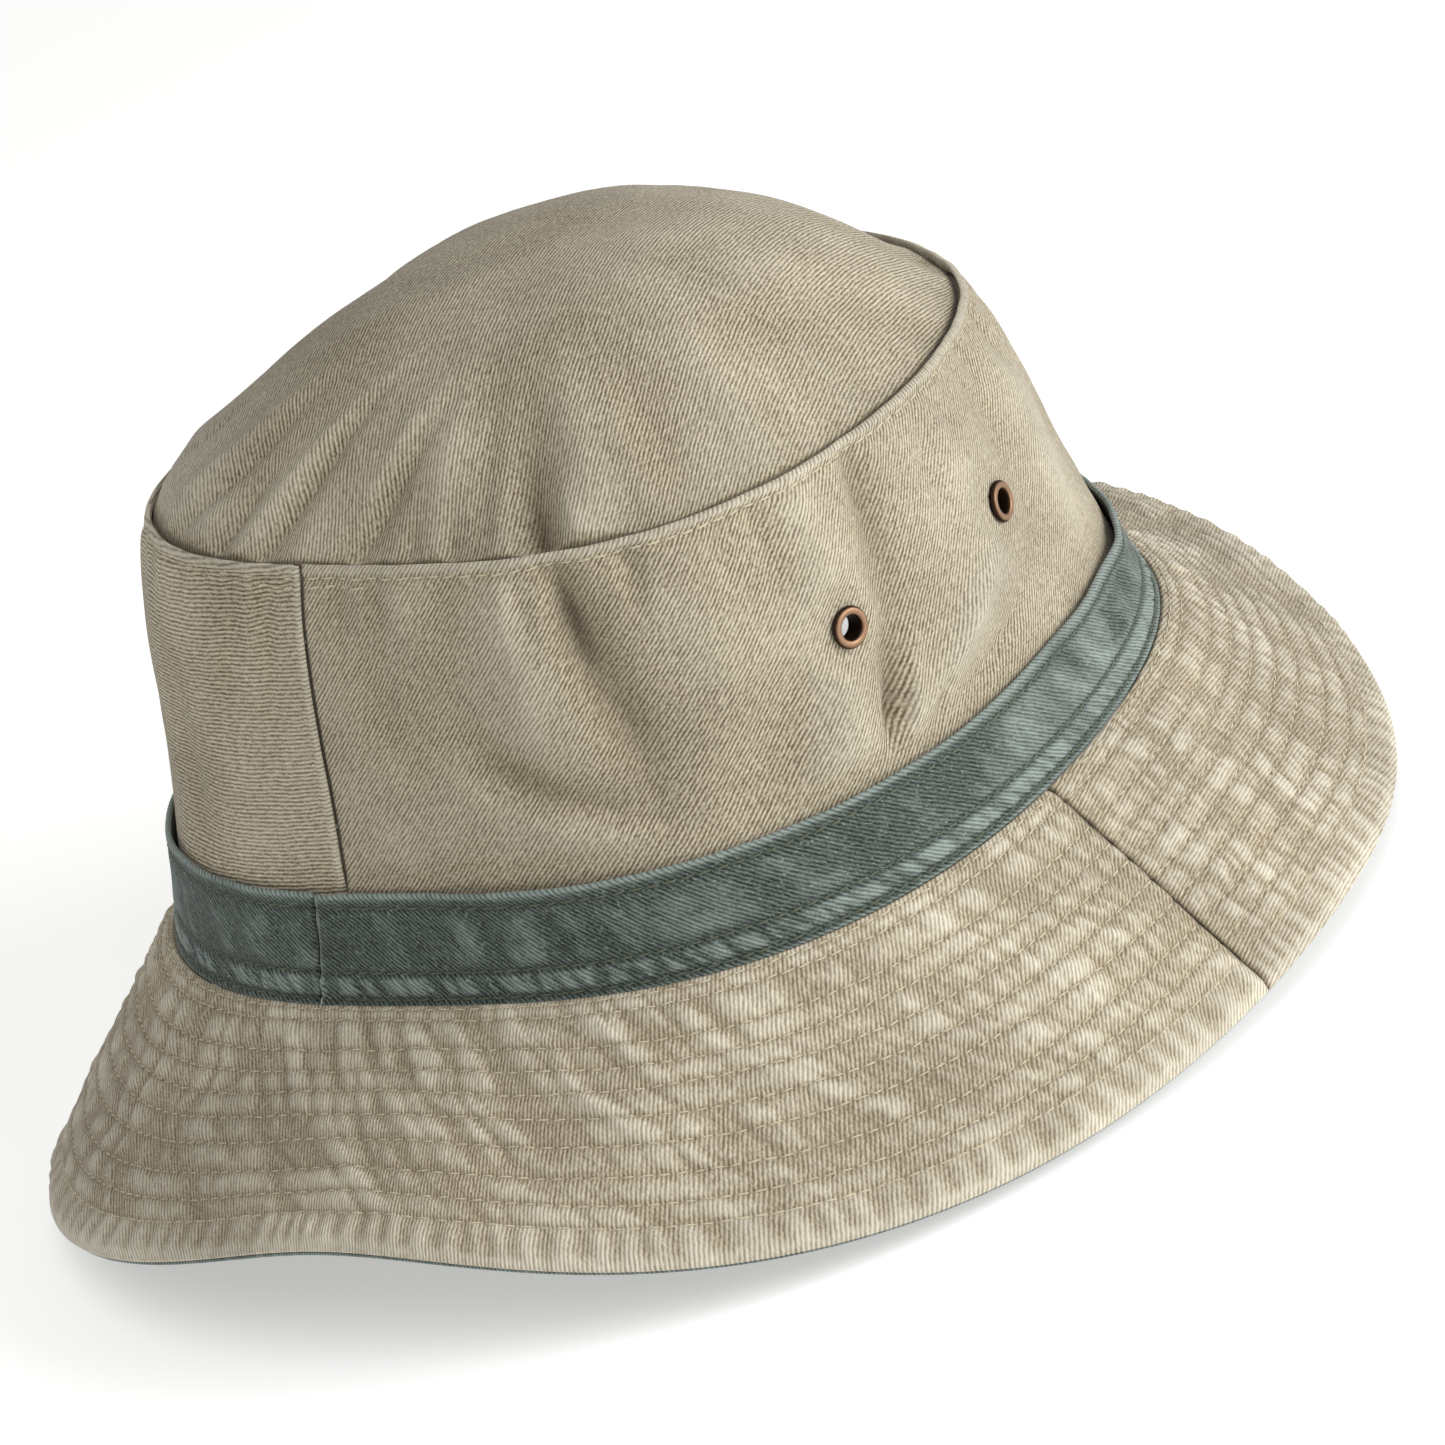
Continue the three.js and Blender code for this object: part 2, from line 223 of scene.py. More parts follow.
class HatStage(bpy.types.PropertyGroup):
    """Camera and lights."""

    azimuth: angle("Azimuth", "Direction of the camera, 0 in front, turning to the left", 226.32)
    elevation: angle("Elevation", "Height of the camera over the horizon", 24.13)
    roll: angle("Roll", "Turn of the camera about its own axis", -17.02)
    distance: size("Distance", "Camera to the middle of the brim seam", 1353)
    aim_right: size("Aim right", "Shift of the camera to its right", 7.45)
    aim_up: size("Aim up", "Shift of the camera up", 5.57)
    lens: FloatProperty(name="Lens", description="Focal length on a 36 mm frame", default=174.92)
    key_power: FloatProperty(name="Key power", description="Key light", default=27.5, unit="POWER")
    fill_power: FloatProperty(name="Fill power", description="Fill", default=11.5, unit="POWER")
    sky: share("Sky", "Strength of the even light from all sides", 0.31)
    floor_reach: size("Floor reach", "Radius of the studio floor", 12000)


# Soft folds of the crown wall. Each has its direction in degrees and its height, its lean from the
# vertical in degrees, its half length, half width and depth in millimetres; a dent is negative.
WALL_FOLDS = (
    (131, 70, -6, 15, 4.5, -3.6),
    (135, 48, -4, 17, 6, -2.3),
    (124, 37, -62, 15, 4.5, -2.3),
    (117, 44, -50, 12, 5, -1.8),
    (126, 30, -70, 15, 4, 1.6),
    (147, 56, 0, 24, 8, 0.7),
    (123, 62, -4, 18, 6, 1.6),
    (173, 66, 6, 17, 5, -2.8),
    (168, 44, 10, 17, 5, -2.4),
    (161, 50, 10, 26, 8, 1.5),
    (180, 36, 62, 20, 4, 2.2),
    (183, 27, 70, 16, 3.6, -1.6),
    (101, 54, -14, 18, 8, -1.3),
    (110, 40, 30, 16, 7, 0.9),
    (151, 38, 40, 17, 6, -1.0),
    (213, 52, 12, 20, 8, 1.2),
    (205, 66, 20, 14, 6, -0.9),
    (74, 60, 16, 22, 7, -1.0),
    (62, 42, -10, 22, 9, -1.2),
    (30, 52, 12, 24, 9, -1.5),
    (-12, 45, -8, 26, 9, 1.3),
    (-48, 56, 14, 22, 8, -1.5),
    (248, 50, -12, 24, 9, -1.6),
    (280, 44, 8, 22, 8, 1.2),
    (165, 29, 26, 9, 1.8, -2.4),
    (169, 32, 28, 10, 2.2, 1.6),
    (172, 27, 40, 7, 1.8, -1.3),
    (140, 75, 4, 8, 3.2, -1.3),
    (125, 74, -6, 7, 2.8, -1.1),
    (113, 73, -4, 8, 3.0, -1.2),
    (103, 74, 0, 7, 2.4, -1.0),
    (96, 73, 6, 8, 2.2, -1.0),
    (157, 72, 4, 9, 3.5, -1.0),
    (186, 66, 12, 12, 4.0, -0.9),
    (196, 52, 20, 16, 4.5, 0.9),
    (219, 73, 10, 7, 3.0, -1.3),
    (225, 68, 14, 9, 3.0, -1.1),
    (83, 66, 4, 16, 3.0, -0.7),
)

# Soft folds of the tip: direction in degrees, distance from the middle in millimetres, turn from
# the radial in degrees, half length, half width and depth in millimetres.
TIP_FOLDS = (
    (129, 71, 10, 10, 3.4, -3.8),
    (134, 72, 24, 9, 3.0, 1.8),
    (128, 58, 4, 12, 5, -1.6),
    (137, 66, 4, 14, 5, 1.4),
    (122, 68, 6, 14, 4, 1.2),
    (120, 58, 4, 15, 5, -1.5),
    (111, 62, 0, 14, 5, 0.9),
    (101, 66, -22, 13, 2.6, -1.9),
    (98, 62, -20, 15, 3.2, 1.3),
    (90, 62, -4, 14, 5, 0.9),
    (83, 64, -14, 15, 2.4, -1.9),
    (79, 62, -14, 16, 3.0, 1.4),
    (149, 60, 6, 16, 6, -1.4),
    (164, 58, 0, 18, 7, 0.7),
    (64, 64, -12, 16, 2.4, -1.8),
    (59, 62, -12, 16, 3.2, 1.3),
    (42, 66, -6, 12, 2.6, -1.5),
    (8, 62, -6, 16, 6, -1.3),
    (205, 64, 4, 13, 5, -0.9),
    (240, 62, -4, 14, 5, -1.2),
    (285, 62, 6, 15, 5, -1.4),
    (325, 62, -4, 15, 5, -1.2),
    (46, 71, 90, 34, 7, 3.0),
    (72, 70, 0, 9, 3, -1.8),
    (95, 72, -8, 7, 2.5, -1.4),
    (108, 72, 6, 7, 2.5, -1.3),
    (115, 73, 10, 6, 2.2, -1.1),
    (143, 72, 4, 7, 3, -1.0),
)


def ease(low, high, value):
    """0 below low, 1 above high and a smooth rise between: three squares less two cubes."""
    part = np.clip((value - low) / (high - low), 0, 1)
    return part * part * (3 - 2 * part)


def fade(low, high, value):
    """1 below low, 0 above high and a smooth fall between."""
    return 1 - ease(low, high, value)


def bell(distance, reach):
    """1 at no distance, falling off on both sides as e to the minus square."""
    return np.exp(-((distance / reach) ** 2))


def noise(x, y, seed):
    """Smooth waves between about -1 and 1.

    Every corner of a unit grid has a random slope; the four slopes around a point are added with
    weights that fade smoothly from each corner.
    """
    cells = 97
    slopes = np.random.default_rng(seed).uniform(0, FULL_TURN, (cells, cells))
    x, y = np.broadcast_arrays(x, y)
    column = np.floor(x).astype(int)
    row = np.floor(y).astype(int)
    total = np.zeros(x.shape)
    for right in (0, 1):
        for up in (0, 1):
            slope = slopes[(column + right) % cells, (row + up) % cells]
            side = x - column - right
            rise = y - row - up
            weight = ease(0, 1, 1 - np.abs(side)) * ease(0, 1, 1 - np.abs(rise))
            total += weight * (np.cos(slope) * side + np.sin(slope) * rise)
    return 1.6 * total


def folds(x, y, table, place):
    """A sum of long bumps: each falls off as a bell along its length, a little sharper across."""
    total = np.zeros(np.broadcast(x, y).shape)
    for first, second, lean, long, wide, depth in table:
        middle_x, middle_y = place(np.radians(first), second * MM)
        turn = np.radians(lean)
        along = (y - middle_y) * np.cos(turn) + (x - middle_x) * np.sin(turn)
        beside = (x - middle_x) * np.cos(turn) - (y - middle_y) * np.sin(turn)
        share_left = np.exp(-((along / (long * MM)) ** 2) - np.abs(beside / (wide * MM)) ** 1.5)
        total += depth * MM * share_left
    return total


def around(turn, middle):
    """An angle brought to within half a turn of a middle direction."""
    return middle + (turn - middle + np.pi) % FULL_TURN - np.pi


def from_ends(turn):
    """Angle to the nearer end of a panel, whose columns run from end to end."""
    return np.minimum(turn - turn[:, :1], turn[:, -1:] - turn)


class HatSurface:
    """The surfaces that every cloth piece is bent onto, and the relief of the worn cloth."""

    def __init__(self, context):
        scene = context.scene
        self.shape = scene.hat_shape
        self.cloth = scene.hat_cloth
        self.eyelets = scene.hat_eyelets
        self.stitches = scene.hat_stitches
        self.radius = (self.shape.base_length + self.shape.base_width) / 4
        self.origin = np.zeros(3)
        self.origin = self._origin_in_frame()

    def _origin_in_frame(self):
        """Middle of the brim seam in the CAD frame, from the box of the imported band."""
        cad_steps = 48
        low, high = (np.array(corner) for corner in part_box("hat_band"))
        turns = np.linspace(BACK, BACK + FULL_TURN, cad_steps + 1)
        out = self.cloth.gap + self.cloth.band_cloth
        rings = [self.wall(turns, h, out) for h in (3 * self.cloth.gap, self.cloth.band_width)]
        ring = np.concatenate(rings)
        return (low + high) / 2 - (ring.min(0) + ring.max(0)) / 2

    def oval(self, turn, part):
        """Level oval: an ellipse whose radius swells three and four times on the way round."""
        s = self.shape
        egg = s.egg_share * np.cos(3 * (turn - s.egg_turn))
        square = s.square_share * np.cos(4 * (turn - s.square_turn))
        reach = (1 + egg + square) / 2
        long = s.base_length + (s.tip_length - s.base_length) * part
        wide = s.base_width + (s.tip_width - s.base_width) * part
        x = wide * reach * np.cos(turn) + s.lean_left * part
        y = long * reach * np.sin(turn) + s.lean_back * part
        return np.stack(np.broadcast_arrays(x, y, np.zeros_like(x * y)), -1)

    def outward(self, turn):
        """Level direction across the tangent of the brim seam's oval."""
        step = 1e-4
        along = self.oval(turn + step, 0) - self.oval(turn - step, 0)
        across = np.stack([along[..., 1], -along[..., 0], along[..., 2]], -1)
        return across / np.linalg.norm(across, axis=-1, keepdims=True)

    def wall(self, turn, height, out):
        """Crown wall: the oval slides from base to tip, with a bulge of a late half sine."""
        s = self.shape
        turn, height, out = np.broadcast_arrays(turn, height, out)
        part = height / s.wall_height
        tilt = s.tilt_left * np.cos(turn) + s.tilt_back * np.sin(turn)
        bulge = s.shoulder * np.sin(np.pi * np.clip(part, 0, 1) ** 3)
        point = self.oval(turn, part) + self.outward(turn) * (out + bulge)[..., None]
        point[..., 2] = height + part * tilt
        return point + self.origin

    def droop(self, turn):
        """Slope of the brim: a mean and four waves around."""
        total = self.shape.brim_droop
        for i, wave in enumerate(self.shape.brim_waves):
            total = total + wave * np.cos((i + 1) * (turn - self.shape.brim_wave_turns[i]))
        return total

    def brim(self, turn, distance, rise):
        """Brim: straight lines out of the seam at the local droop, offset square to them."""
        turn, distance, rise = np.broadcast_arrays(turn, distance, rise)
        start = self.wall(turn, 0.0, self.cloth.band_cloth + 2 * self.cloth.gap)
        level = self.outward(turn)
        droop = self.droop(turn)[..., None]
        up = np.array((0, 0, 1))
        slope = np.cos(droop) * level - np.sin(droop) * up
        above = np.sin(droop) * level + np.cos(droop) * up
        return start + distance[..., None] * slope + rise[..., None] * above

    def dome(self, turn, part, rise):
        """Tip: straight from the middle to the seam in plan, and a flattened bell in height."""
        s = self.shape
        turn, part, rise = np.broadcast_arrays(turn, part, rise)
        puckered = self.wall_relief(turn, np.full(turn.shape, s.wall_height))
        rim = self.wall(turn, s.wall_height, puckered - self.cloth.twill - self.cloth.gap)
        middle = np.array((s.lean_left, s.lean_back, s.wall_height)) + self.origin
        point = middle + (rim - middle) * part[..., None]
        swell = np.maximum(0, 1 - part**s.dome_fullness) ** s.dome_flare
        point[..., 0] += s.peak_left * (1 - part**2)
        point[..., 2] += s.dome_rise * swell - s.tip_inset + rise
        return point

    def tip_tape_top(self):
        """Height of the upper edge of the tape that covers the tip seam."""
        s, c = self.shape, self.cloth
        return s.wall_height - s.tip_inset - c.twill - 4 * c.gap

    def eyelet_height(self):
        """Middle of the wall that is left between the sweatband and the tape, plus a lift."""
        c = self.cloth
        tape_foot = self.tip_tape_top() - c.tip_tape_width
        return (c.sweatband_width + tape_foot) / 2 + self.eyelets.lift

    def eyelet_turns(self):
        """Directions of the eyelets, evenly spread about the middle of each side panel."""
        spread = self.eyelets.spread
        return {
            "left_front": LEFT - spread,
            "left_back": LEFT + spread,
            "right_back": RIGHT - spread,
            "right_front": RIGHT + spread,
        }

    def from_eyelets(self, turn, height):
        """Distance along the wall to the nearest eyelet."""
        nearest = np.full(np.broadcast(turn, height).shape, 1.0)
        for place in self.eyelet_turns().values():
            beside = (around(turn, place) - place) * self.local_radius(place)
            nearest = np.minimum(nearest, np.hypot(beside, height - self.eyelet_height()))
        return nearest

    def local_radius(self, turn):
        """Length along the wall for each radian, at the height of the eyelets."""
        step = 0.01
        height = self.eyelet_height()
        ends = self.wall(turn + step, height, 0.0) - self.wall(turn - step, height, 0.0)
        return np.linalg.norm(ends) / (2 * step)

    def wall_relief(self, turn, height):
        """Height of the crown wall's folds over its smooth form.

        The folds of the table, smooth waves at three sizes and finer gathers near the tip seam
        are added, then pressed flat under the band, at the seam's edge and around the eyelets.
        """
        c = self.cloth
        radius = self.radius * SEAM_TO_WALL
        x = radius * turn
        soft = np.zeros(np.broadcast(turn, height).shape)
        for whole_turn in (-1, 0, 1):
            lap = whole_turn * FULL_TURN
            soft += folds(x, height, WALL_FOLDS, lambda a, h: (radius * (a + lap), h))
        ring = np.cos(turn), np.sin(turn)
        broad = noise(3.1 * ring[0] + 9, 3.1 * ring[1] + height / (70 * MM), seed=4)
        crumple = noise(x / (17 * MM), height / (24 * MM), seed=5)
        small = noise(x / (6.5 * MM) + height / (20 * MM), height / (9 * MM), seed=6)
        top = self.shape.wall_height
        near_seam = ease(top - 18 * MM, top - 5 * MM, height)
        gather = noise(x / (5.5 * MM), height / (17 * MM), seed=7)
        relief = 1.25 * soft + 0.9 * MM * broad + 0.5 * MM * crumple + 0.16 * MM * small
        relief = relief + near_seam * 0.65 * MM * gather
        free = ease(c.band_width - 1 * MM, c.band_width + 9 * MM, height)
        edge = 1 - 0.75 * ease(top - 4 * MM, top - 0.5 * MM, height)
        flat = ease(4.6 * MM, 12 * MM, self.from_eyelets(turn, height))
        return relief * free * edge * flat

    def tip_relief(self, turn, part):
        """Height of the tip's folds over its smooth form.

        Each fold of the table lies along its own radius. Smooth waves at two sizes are added, and
        gathers that fade towards the middle.
        """
        out = part * TIP_REACH
        folded = np.zeros(np.broadcast(turn, part).shape)
        for line in TIP_FOLDS:
            place = np.radians(line[0])
            beside = (around(turn, place) - place) * TIP_REACH * np.maximum(part, 0.3)
            folded += folds(beside, out, ((0,) + line[1:],), lambda a, h: (0.0, h))
        x = out * np.cos(turn)
        y = out * np.sin(turn)
        broad = noise(x / (38 * MM) + 3, y / (38 * MM) + 5, seed=11)
        crumple = noise(x / (15 * MM), y / (15 * MM), seed=12)
        gathers = TIP_REACH / (6.5 * MM)
        gather = noise(gathers * np.cos(turn), gathers * np.sin(turn), seed=13)
        outer = ease(0.62, 0.94, part)
        edge = 1 - 0.7 * ease(0.965, 1.0, part)
        relief = 1.2 * folded + 0.7 * MM * broad + 0.3 * MM * crumple + outer * 0.5 * MM * gather
        return relief * edge

    def brim_rows(self):
        """Distances of the brim seam, of each row of stitches and of the brim's edge."""
        return np.array([0.0, *self.stitches.brim_rows, self.shape.brim_width])

    def brim_distance(self, turn, row, part):
        """Distance from the brim seam, at a part of the way from one row to the next.

        Each row wanders a little as smooth waves, less so near the seam and near the edge.
        """
        rows = self.brim_rows()
        wander = np.array([0.0, 0.05, 0.2, *[0.45] * (len(rows) - 5), 0.3, 0.0]) * MM
        x = self.radius * turn / (34 * MM)
        start = rows[row] + wander[row] * noise(x, 3.3 * row + 0.5, seed=21)
        end = rows[row + 1] + wander[row + 1] * noise(x, 3.3 * (row + 1) + 0.5, seed=21)
        return start + (end - start) * part

    def brim_relief(self, turn, row, part, seed):
        """Quilted puckers of the brim: their height, and how worn each place is, -1 to 1; below 0
        it is painted shade.

        Between two rows the cloth arches as a power of a parabola. Swells and sharp ridges cross
        the rows, and are lower where there is a lull. Short pillows lie between the rows. Swells
        and pillows are the size of smooth waves, and ridges stand where other waves cross zero.
        All lean with the slant, which turns slowly around the brim. Broad creases are added, and
        the outermost strip has even ripples of its own. What stands up is worn pale, and the
        lines of the stitches and the low places between the bumps get painted shade.
        """
        rows = self.brim_rows()
        gap = rows[row + 1] - rows[row]
        distance = rows[row] + gap * part
        spread = 1.2 * self.radius
        outer = row == len(rows) - 2
        slant = 0.45 + 0.55 * np.cos(2 * (turn - np.radians(125)))
        x = spread * turn - slant * distance
        arch = np.maximum(0, 4 * part * (1 - part)) ** 0.62
        outer_arch = np.maximum(0, 1 - (2 * part - 0.86) ** 2) ** 0.7
        arch = np.where(outer, outer_arch, arch)
        strip = 0.03 * row
        bend = 2.4 * MM * noise(x / (30 * MM), distance / (11 * MM), seed + 4)
        along = (x + bend) / (4.3 * MM)
        ridge = 1 - 2.4 * np.abs(noise(along, strip + distance / (24 * MM), seed))
        ridge = np.maximum(0, ridge) ** 0.9
        pillow = np.abs(noise((x + bend) / (3.1 * MM), strip + distance / (7 * MM), seed + 1))
        lull = ease(-0.6, 0.2, noise(x / (22 * MM), distance / (20 * MM), seed + 5))
        swell = np.abs(noise((x + bend) / (5.6 * MM), strip + distance / (21 * MM), seed + 6))
        across_rows = (0.6 + 0.4 * lull) * (0.95 * swell**0.7 + 0.45 * ridge)
        bumps = across_rows * (0.45 + 0.55 * arch) + 0.45 * pillow * arch
        from_row = distance - rows[-2]
        x_edge = spread * turn - 0.3 * slant * from_row
        wobble = noise(x_edge / (19 * MM), from_row / (40 * MM), seed + 2)
        ripple = 0.5 + 0.5 * np.sin(FULL_TURN * x_edge / (4.9 * MM) + 6 * wobble)
        bumps = np.where(outer, 0.42 * ripple + 0.3 * bumps, bumps)
        tall = np.clip(gap / (5.5 * MM), 0.3, 1.1)
        x_crease = self.radius * turn - slant * distance
        crease = noise(x_crease / (9 * MM), distance / (26 * MM), seed + 3)
        height = tall * (0.1 * arch + 1.1 * bumps) * np.where(outer, arch, 1.0) * MM
        height = height + 0.42 * MM * crease * ease(3 * MM, 12 * MM, distance) - 0.1 * MM
        rise = np.where(outer, 0.25 + 0.75 * ripple, ease(0.12, 1.0, bumps))
        worn = (0.3 + 0.7 * arch**0.5) * rise * (0.9 + 0.5 * crease)
        quilted = ~outer
        # Painted shade: the value goes below 0 near the rows of stitches and in the low places between
        # the bumps.
        worn = worn - 0.25 * (1 - arch) * quilted - 0.3 * fade(0, 0.5, bumps) * quilted
        return np.maximum(height, -0.3 * MM), np.clip(worn, -1, 1)


def grid_quads(rows, columns, wrap):
    """Corner numbers of the squares between the points of a grid."""
    row = np.arange(rows - 1)[:, None]
    column = np.arange(columns if wrap else columns - 1)[None, :]
    beside = (column + 1) % columns
    corners = (
        row * columns + column,
        row * columns + beside,
        (row + 1) * columns + beside,
        (row + 1) * columns + column,
    )
    return np.stack(np.broadcast_arrays(*corners), -1).reshape(-1, 4)


def signed_volume(points, faces):
    """Volume inside closed faces, negative where they point inwards: a sum of thin pyramids."""
    a, b, c, d = (points[faces[:, i]] for i in range(4))
    first = np.einsum("ij,ij->i", a, np.cross(b, c))
    second = np.einsum("ij,ij->i", a, np.cross(c, d))
    return (first + second).sum() / 6


def new_piece(name, points, faces, flat=None, wear=None):
    """A mesh from points and four-cornered faces, turned outwards and shaded smooth.

    A face with two equal corners becomes a triangle. Points that no face uses are left out.
    """
    if signed_volume(points, faces) < 0:
        faces = faces[:, ::-1]
    used, faces = np.unique(faces, return_inverse=True)
    faces = faces.reshape(-1, 4)
    shifted = np.roll(faces, -1, 1)
    pinched = (faces == shifted).any(1)
    polygons = faces[~pinched].tolist()
    polygons += [list(dict.fromkeys(corners)) for corners in faces[pinched].tolist()]
    mesh = bpy.data.meshes.new(name)
    mesh.from_pydata(points[used].tolist(), [], polygons)
    mesh.polygons.foreach_set("use_smooth", np.ones(len(mesh.polygons), bool))
    if flat is not None:
        corner = np.empty(len(mesh.loops), np.int32)
        mesh.loops.foreach_get("vertex_index", corner)
        layer = mesh.uv_layers.new(name="cloth")
        layer.data.foreach_set("uv", flat[used][corner].astype(np.float32).ravel())
    if wear is not None:
        layer = mesh.attributes.new("wear", "FLOAT", "POINT")
        layer.data.foreach_set("value", wear[used].astype(np.float32))
    mesh.update()
    piece = bpy.data.objects.new(name, mesh)
    bpy.context.scene.collection.objects.link(piece)
    return piece


def shell(name, face, back, flat, wear, grain, wrap=False, kept=None):
    """A closed sheet of cloth: its face, its back, and a rim wherever the face ends.

    With wrap the grid closes on itself and its first row is one point, as at the top of a dome.
    """
    rows, columns = face.shape[:2]
    count = rows * columns
    quads = grid_quads(rows, columns, wrap)
    if kept is not None:
        quads = quads[kept.ravel()]
    edges = np.concatenate([quads[:, [i, (i + 1) % 4]] for i in range(4)])
    one_way = edges[:, 0] * count + edges[:, 1]
    other_way = edges[:, 1] * count + edges[:, 0]
    start, end = edges[~np.isin(one_way, other_way)].T
    if wrap:
        open_edge = (start >= columns) | (end >= columns)
        start, end = start[open_edge], end[open_edge]
    rim = np.stack([end, start, start + count, end + count], -1)
    faces = np.concatenate([quads, quads[:, ::-1] + count, rim])
    if wrap:
        faces = np.where(faces < columns, 0, faces)
        faces = np.where((faces >= count) & (faces < count + columns), count, faces)
    points = np.concatenate([face.reshape(-1, 3), back.reshape(-1, 3)])
    turned = turn_flat(flat, grain).reshape(-1, 2)
    both = np.concatenate([turned, turned])
    worn = np.concatenate([wear.ravel(), wear.ravel()])
    return new_piece(name, points, faces, both, worn)


def turn_flat(flat, grain):
    """The flat pattern turned so that the ribs of its twill run along its first axis."""
    along = flat[..., 0] * np.cos(grain) + flat[..., 1] * np.sin(grain)
    across = flat[..., 1] * np.cos(grain) - flat[..., 0] * np.sin(grain)
    return np.stack([along, across], -1)


def rounded(from_edge, reach):
    """Share of the full thickness near an edge: a quarter circle over the given reach."""
    part = np.clip(from_edge / reach, 0.04, 1)
    return np.sqrt(1 - (1 - part) ** 2)


def flat_size(flat):
    """Width, length and area of a flat pattern, from its grid of squares."""
    extent = flat.reshape(-1, 2).max(0) - flat.reshape(-1, 2).min(0)
    one = flat[1:, 1:] - flat[:-1, :-1]
    other = flat[1:, :-1] - flat[:-1, 1:]
    area = np.abs(one[..., 0] * other[..., 1] - one[..., 1] * other[..., 0]).sum() / 2
    return (float(extent[0]), float(extent[1])), float(area)


def attach(piece, slot, look, *nodes):
    """Fixes a piece to the hat with its material, in the place of its CAD nodes if it has any."""
    piece.data.materials.append(look)
    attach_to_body(piece, BODY)
    if nodes:
        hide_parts(*nodes)


def declare_sheet(flat):
    """Works out the size that a cloth piece is cut to, and keeps it nowhere."""
    extent, area = flat_size(flat)


class Number:
    """A shader value: sums, differences and products of it add Math nodes."""

    def __init__(self, bench, socket):
        self.bench = bench
        self.socket = socket

    def math(self, operation, *others):
        inputs = dict(enumerate((self, *others)))
        node = self.bench.node("ShaderNodeMath", {"operation": operation}, inputs)
        return Number(self.bench, node.outputs[0])

    def __add__(self, other):
        return self.math("ADD", other)

    __radd__ = __add__

    def __mul__(self, other):
        return self.math("MULTIPLY", other)

    __rmul__ = __mul__

    def __sub__(self, other):
        return self.math("SUBTRACT", other)

    def __rsub__(self, other):
        return -1 * self + other

    def sine(self):
        return self.math("SINE")

    def held(self):
        """The value kept between 0 and 1."""
        return self.math("MAXIMUM", 0.0).math("MINIMUM", 1.0)


class Bench:
    """A new material and the one way of adding nodes to it."""

    def __init__(self, name):
        self.material = bpy.data.materials.new(name)
        self.material.use_nodes = True
        self.tree = self.material.node_tree
        self.tree.nodes.clear()

    def node(self, kind, settings=None, inputs=None):
        """A node of a kind, with its settings first and then the values or links of its sockets."""
        node = self.tree.nodes.new(kind)
        for name, value in (settings or {}).items():
            setattr(node, name, value)
        for name, value in (inputs or {}).items():
            if isinstance(value, Number):
                value = value.socket
            if isinstance(value, bpy.types.NodeSocket):
                self.tree.links.new(value, node.inputs[name])
            else:
                node.inputs[name].default_value = value
        return node

    def number(self, socket):
        return Number(self, socket)

    def attribute(self, name):
        """A value that is kept at each point of the mesh."""
        return self.number(self.node("ShaderNodeAttribute", {"attribute_name": name}).outputs["Fac"])

    def cloth_pattern(self):
        """Place on the flat pattern of the cloth, in metres along and across its ribs."""
        return self.node("ShaderNodeUVMap", {"uv_map": "cloth"}).outputs[0]

    def split(self, vector):
        """The first two parts of a vector."""
        parts = self.node("ShaderNodeSeparateXYZ", None, {0: vector})
        return self.number(parts.outputs["X"]), self.number(parts.outputs["Y"])

    def own_place(self):
        """Place in the piece's own coordinates."""
        return self.node("ShaderNodeTexCoord").outputs["Object"]

    def waves(self, vector, scale, detail=2.0, roughness=0.5):
        """Smooth random values between 0 and 1, at so many waves to the metre."""
        inputs = {"Vector": vector, "Scale": scale, "Detail": detail, "Roughness": roughness}
        return self.number(self.node("ShaderNodeTexNoise", None, inputs).outputs[0])

    def mix(self, amount, first, second, blend="MIX"):
        """A colour between two colours."""
        settings = {"data_type": "RGBA", "blend_type": blend, "clamp_factor": True}
        node = self.node("ShaderNodeMix", settings, {0: amount, 6: first, 7: second})
        return node.outputs[2]

    def shaded(self, colour, shade):
        """A colour made darker or paler by a value around 1."""
        return self.mix(1.0, colour, shade, "MULTIPLY")

    def stretched(self, vector, along, across):
        """The flat pattern times so many waves to the metre, along and across the ribs."""
        scale = (along, across, 1.0)
        mapped = self.node("ShaderNodeMapping", None, {"Vector": vector, "Scale": scale})
        return mapped.outputs[0]

    def surface(self, colour, roughness, settings, height=None, depth=0.1 * MM, strength=0.6):
        """Ends the material: a shader with its fixed settings, and a bump of a given depth."""
        inputs = {"Base Color": colour, "Roughness": roughness, **settings}
        if height is not None:
            bump_inputs = {"Strength": strength, "Distance": depth, "Height": height}
            inputs["Normal"] = self.node("ShaderNodeBump", None, bump_inputs).outputs[0]
        shader = self.node("ShaderNodeBsdfPrincipled", None, inputs)
        self.node("ShaderNodeOutputMaterial", None, {"Surface": shader.outputs[0]})
        return self.material


def rgba(value):
    """A colour with full cover."""
    return (*value, 1.0)


FUZZ = {"Sheen Weight": 0.12, "Sheen Roughness": 0.5, "Specular IOR Level": 0.25}
SHADOW = (0.022, 0.017, 0.012, 1.0)


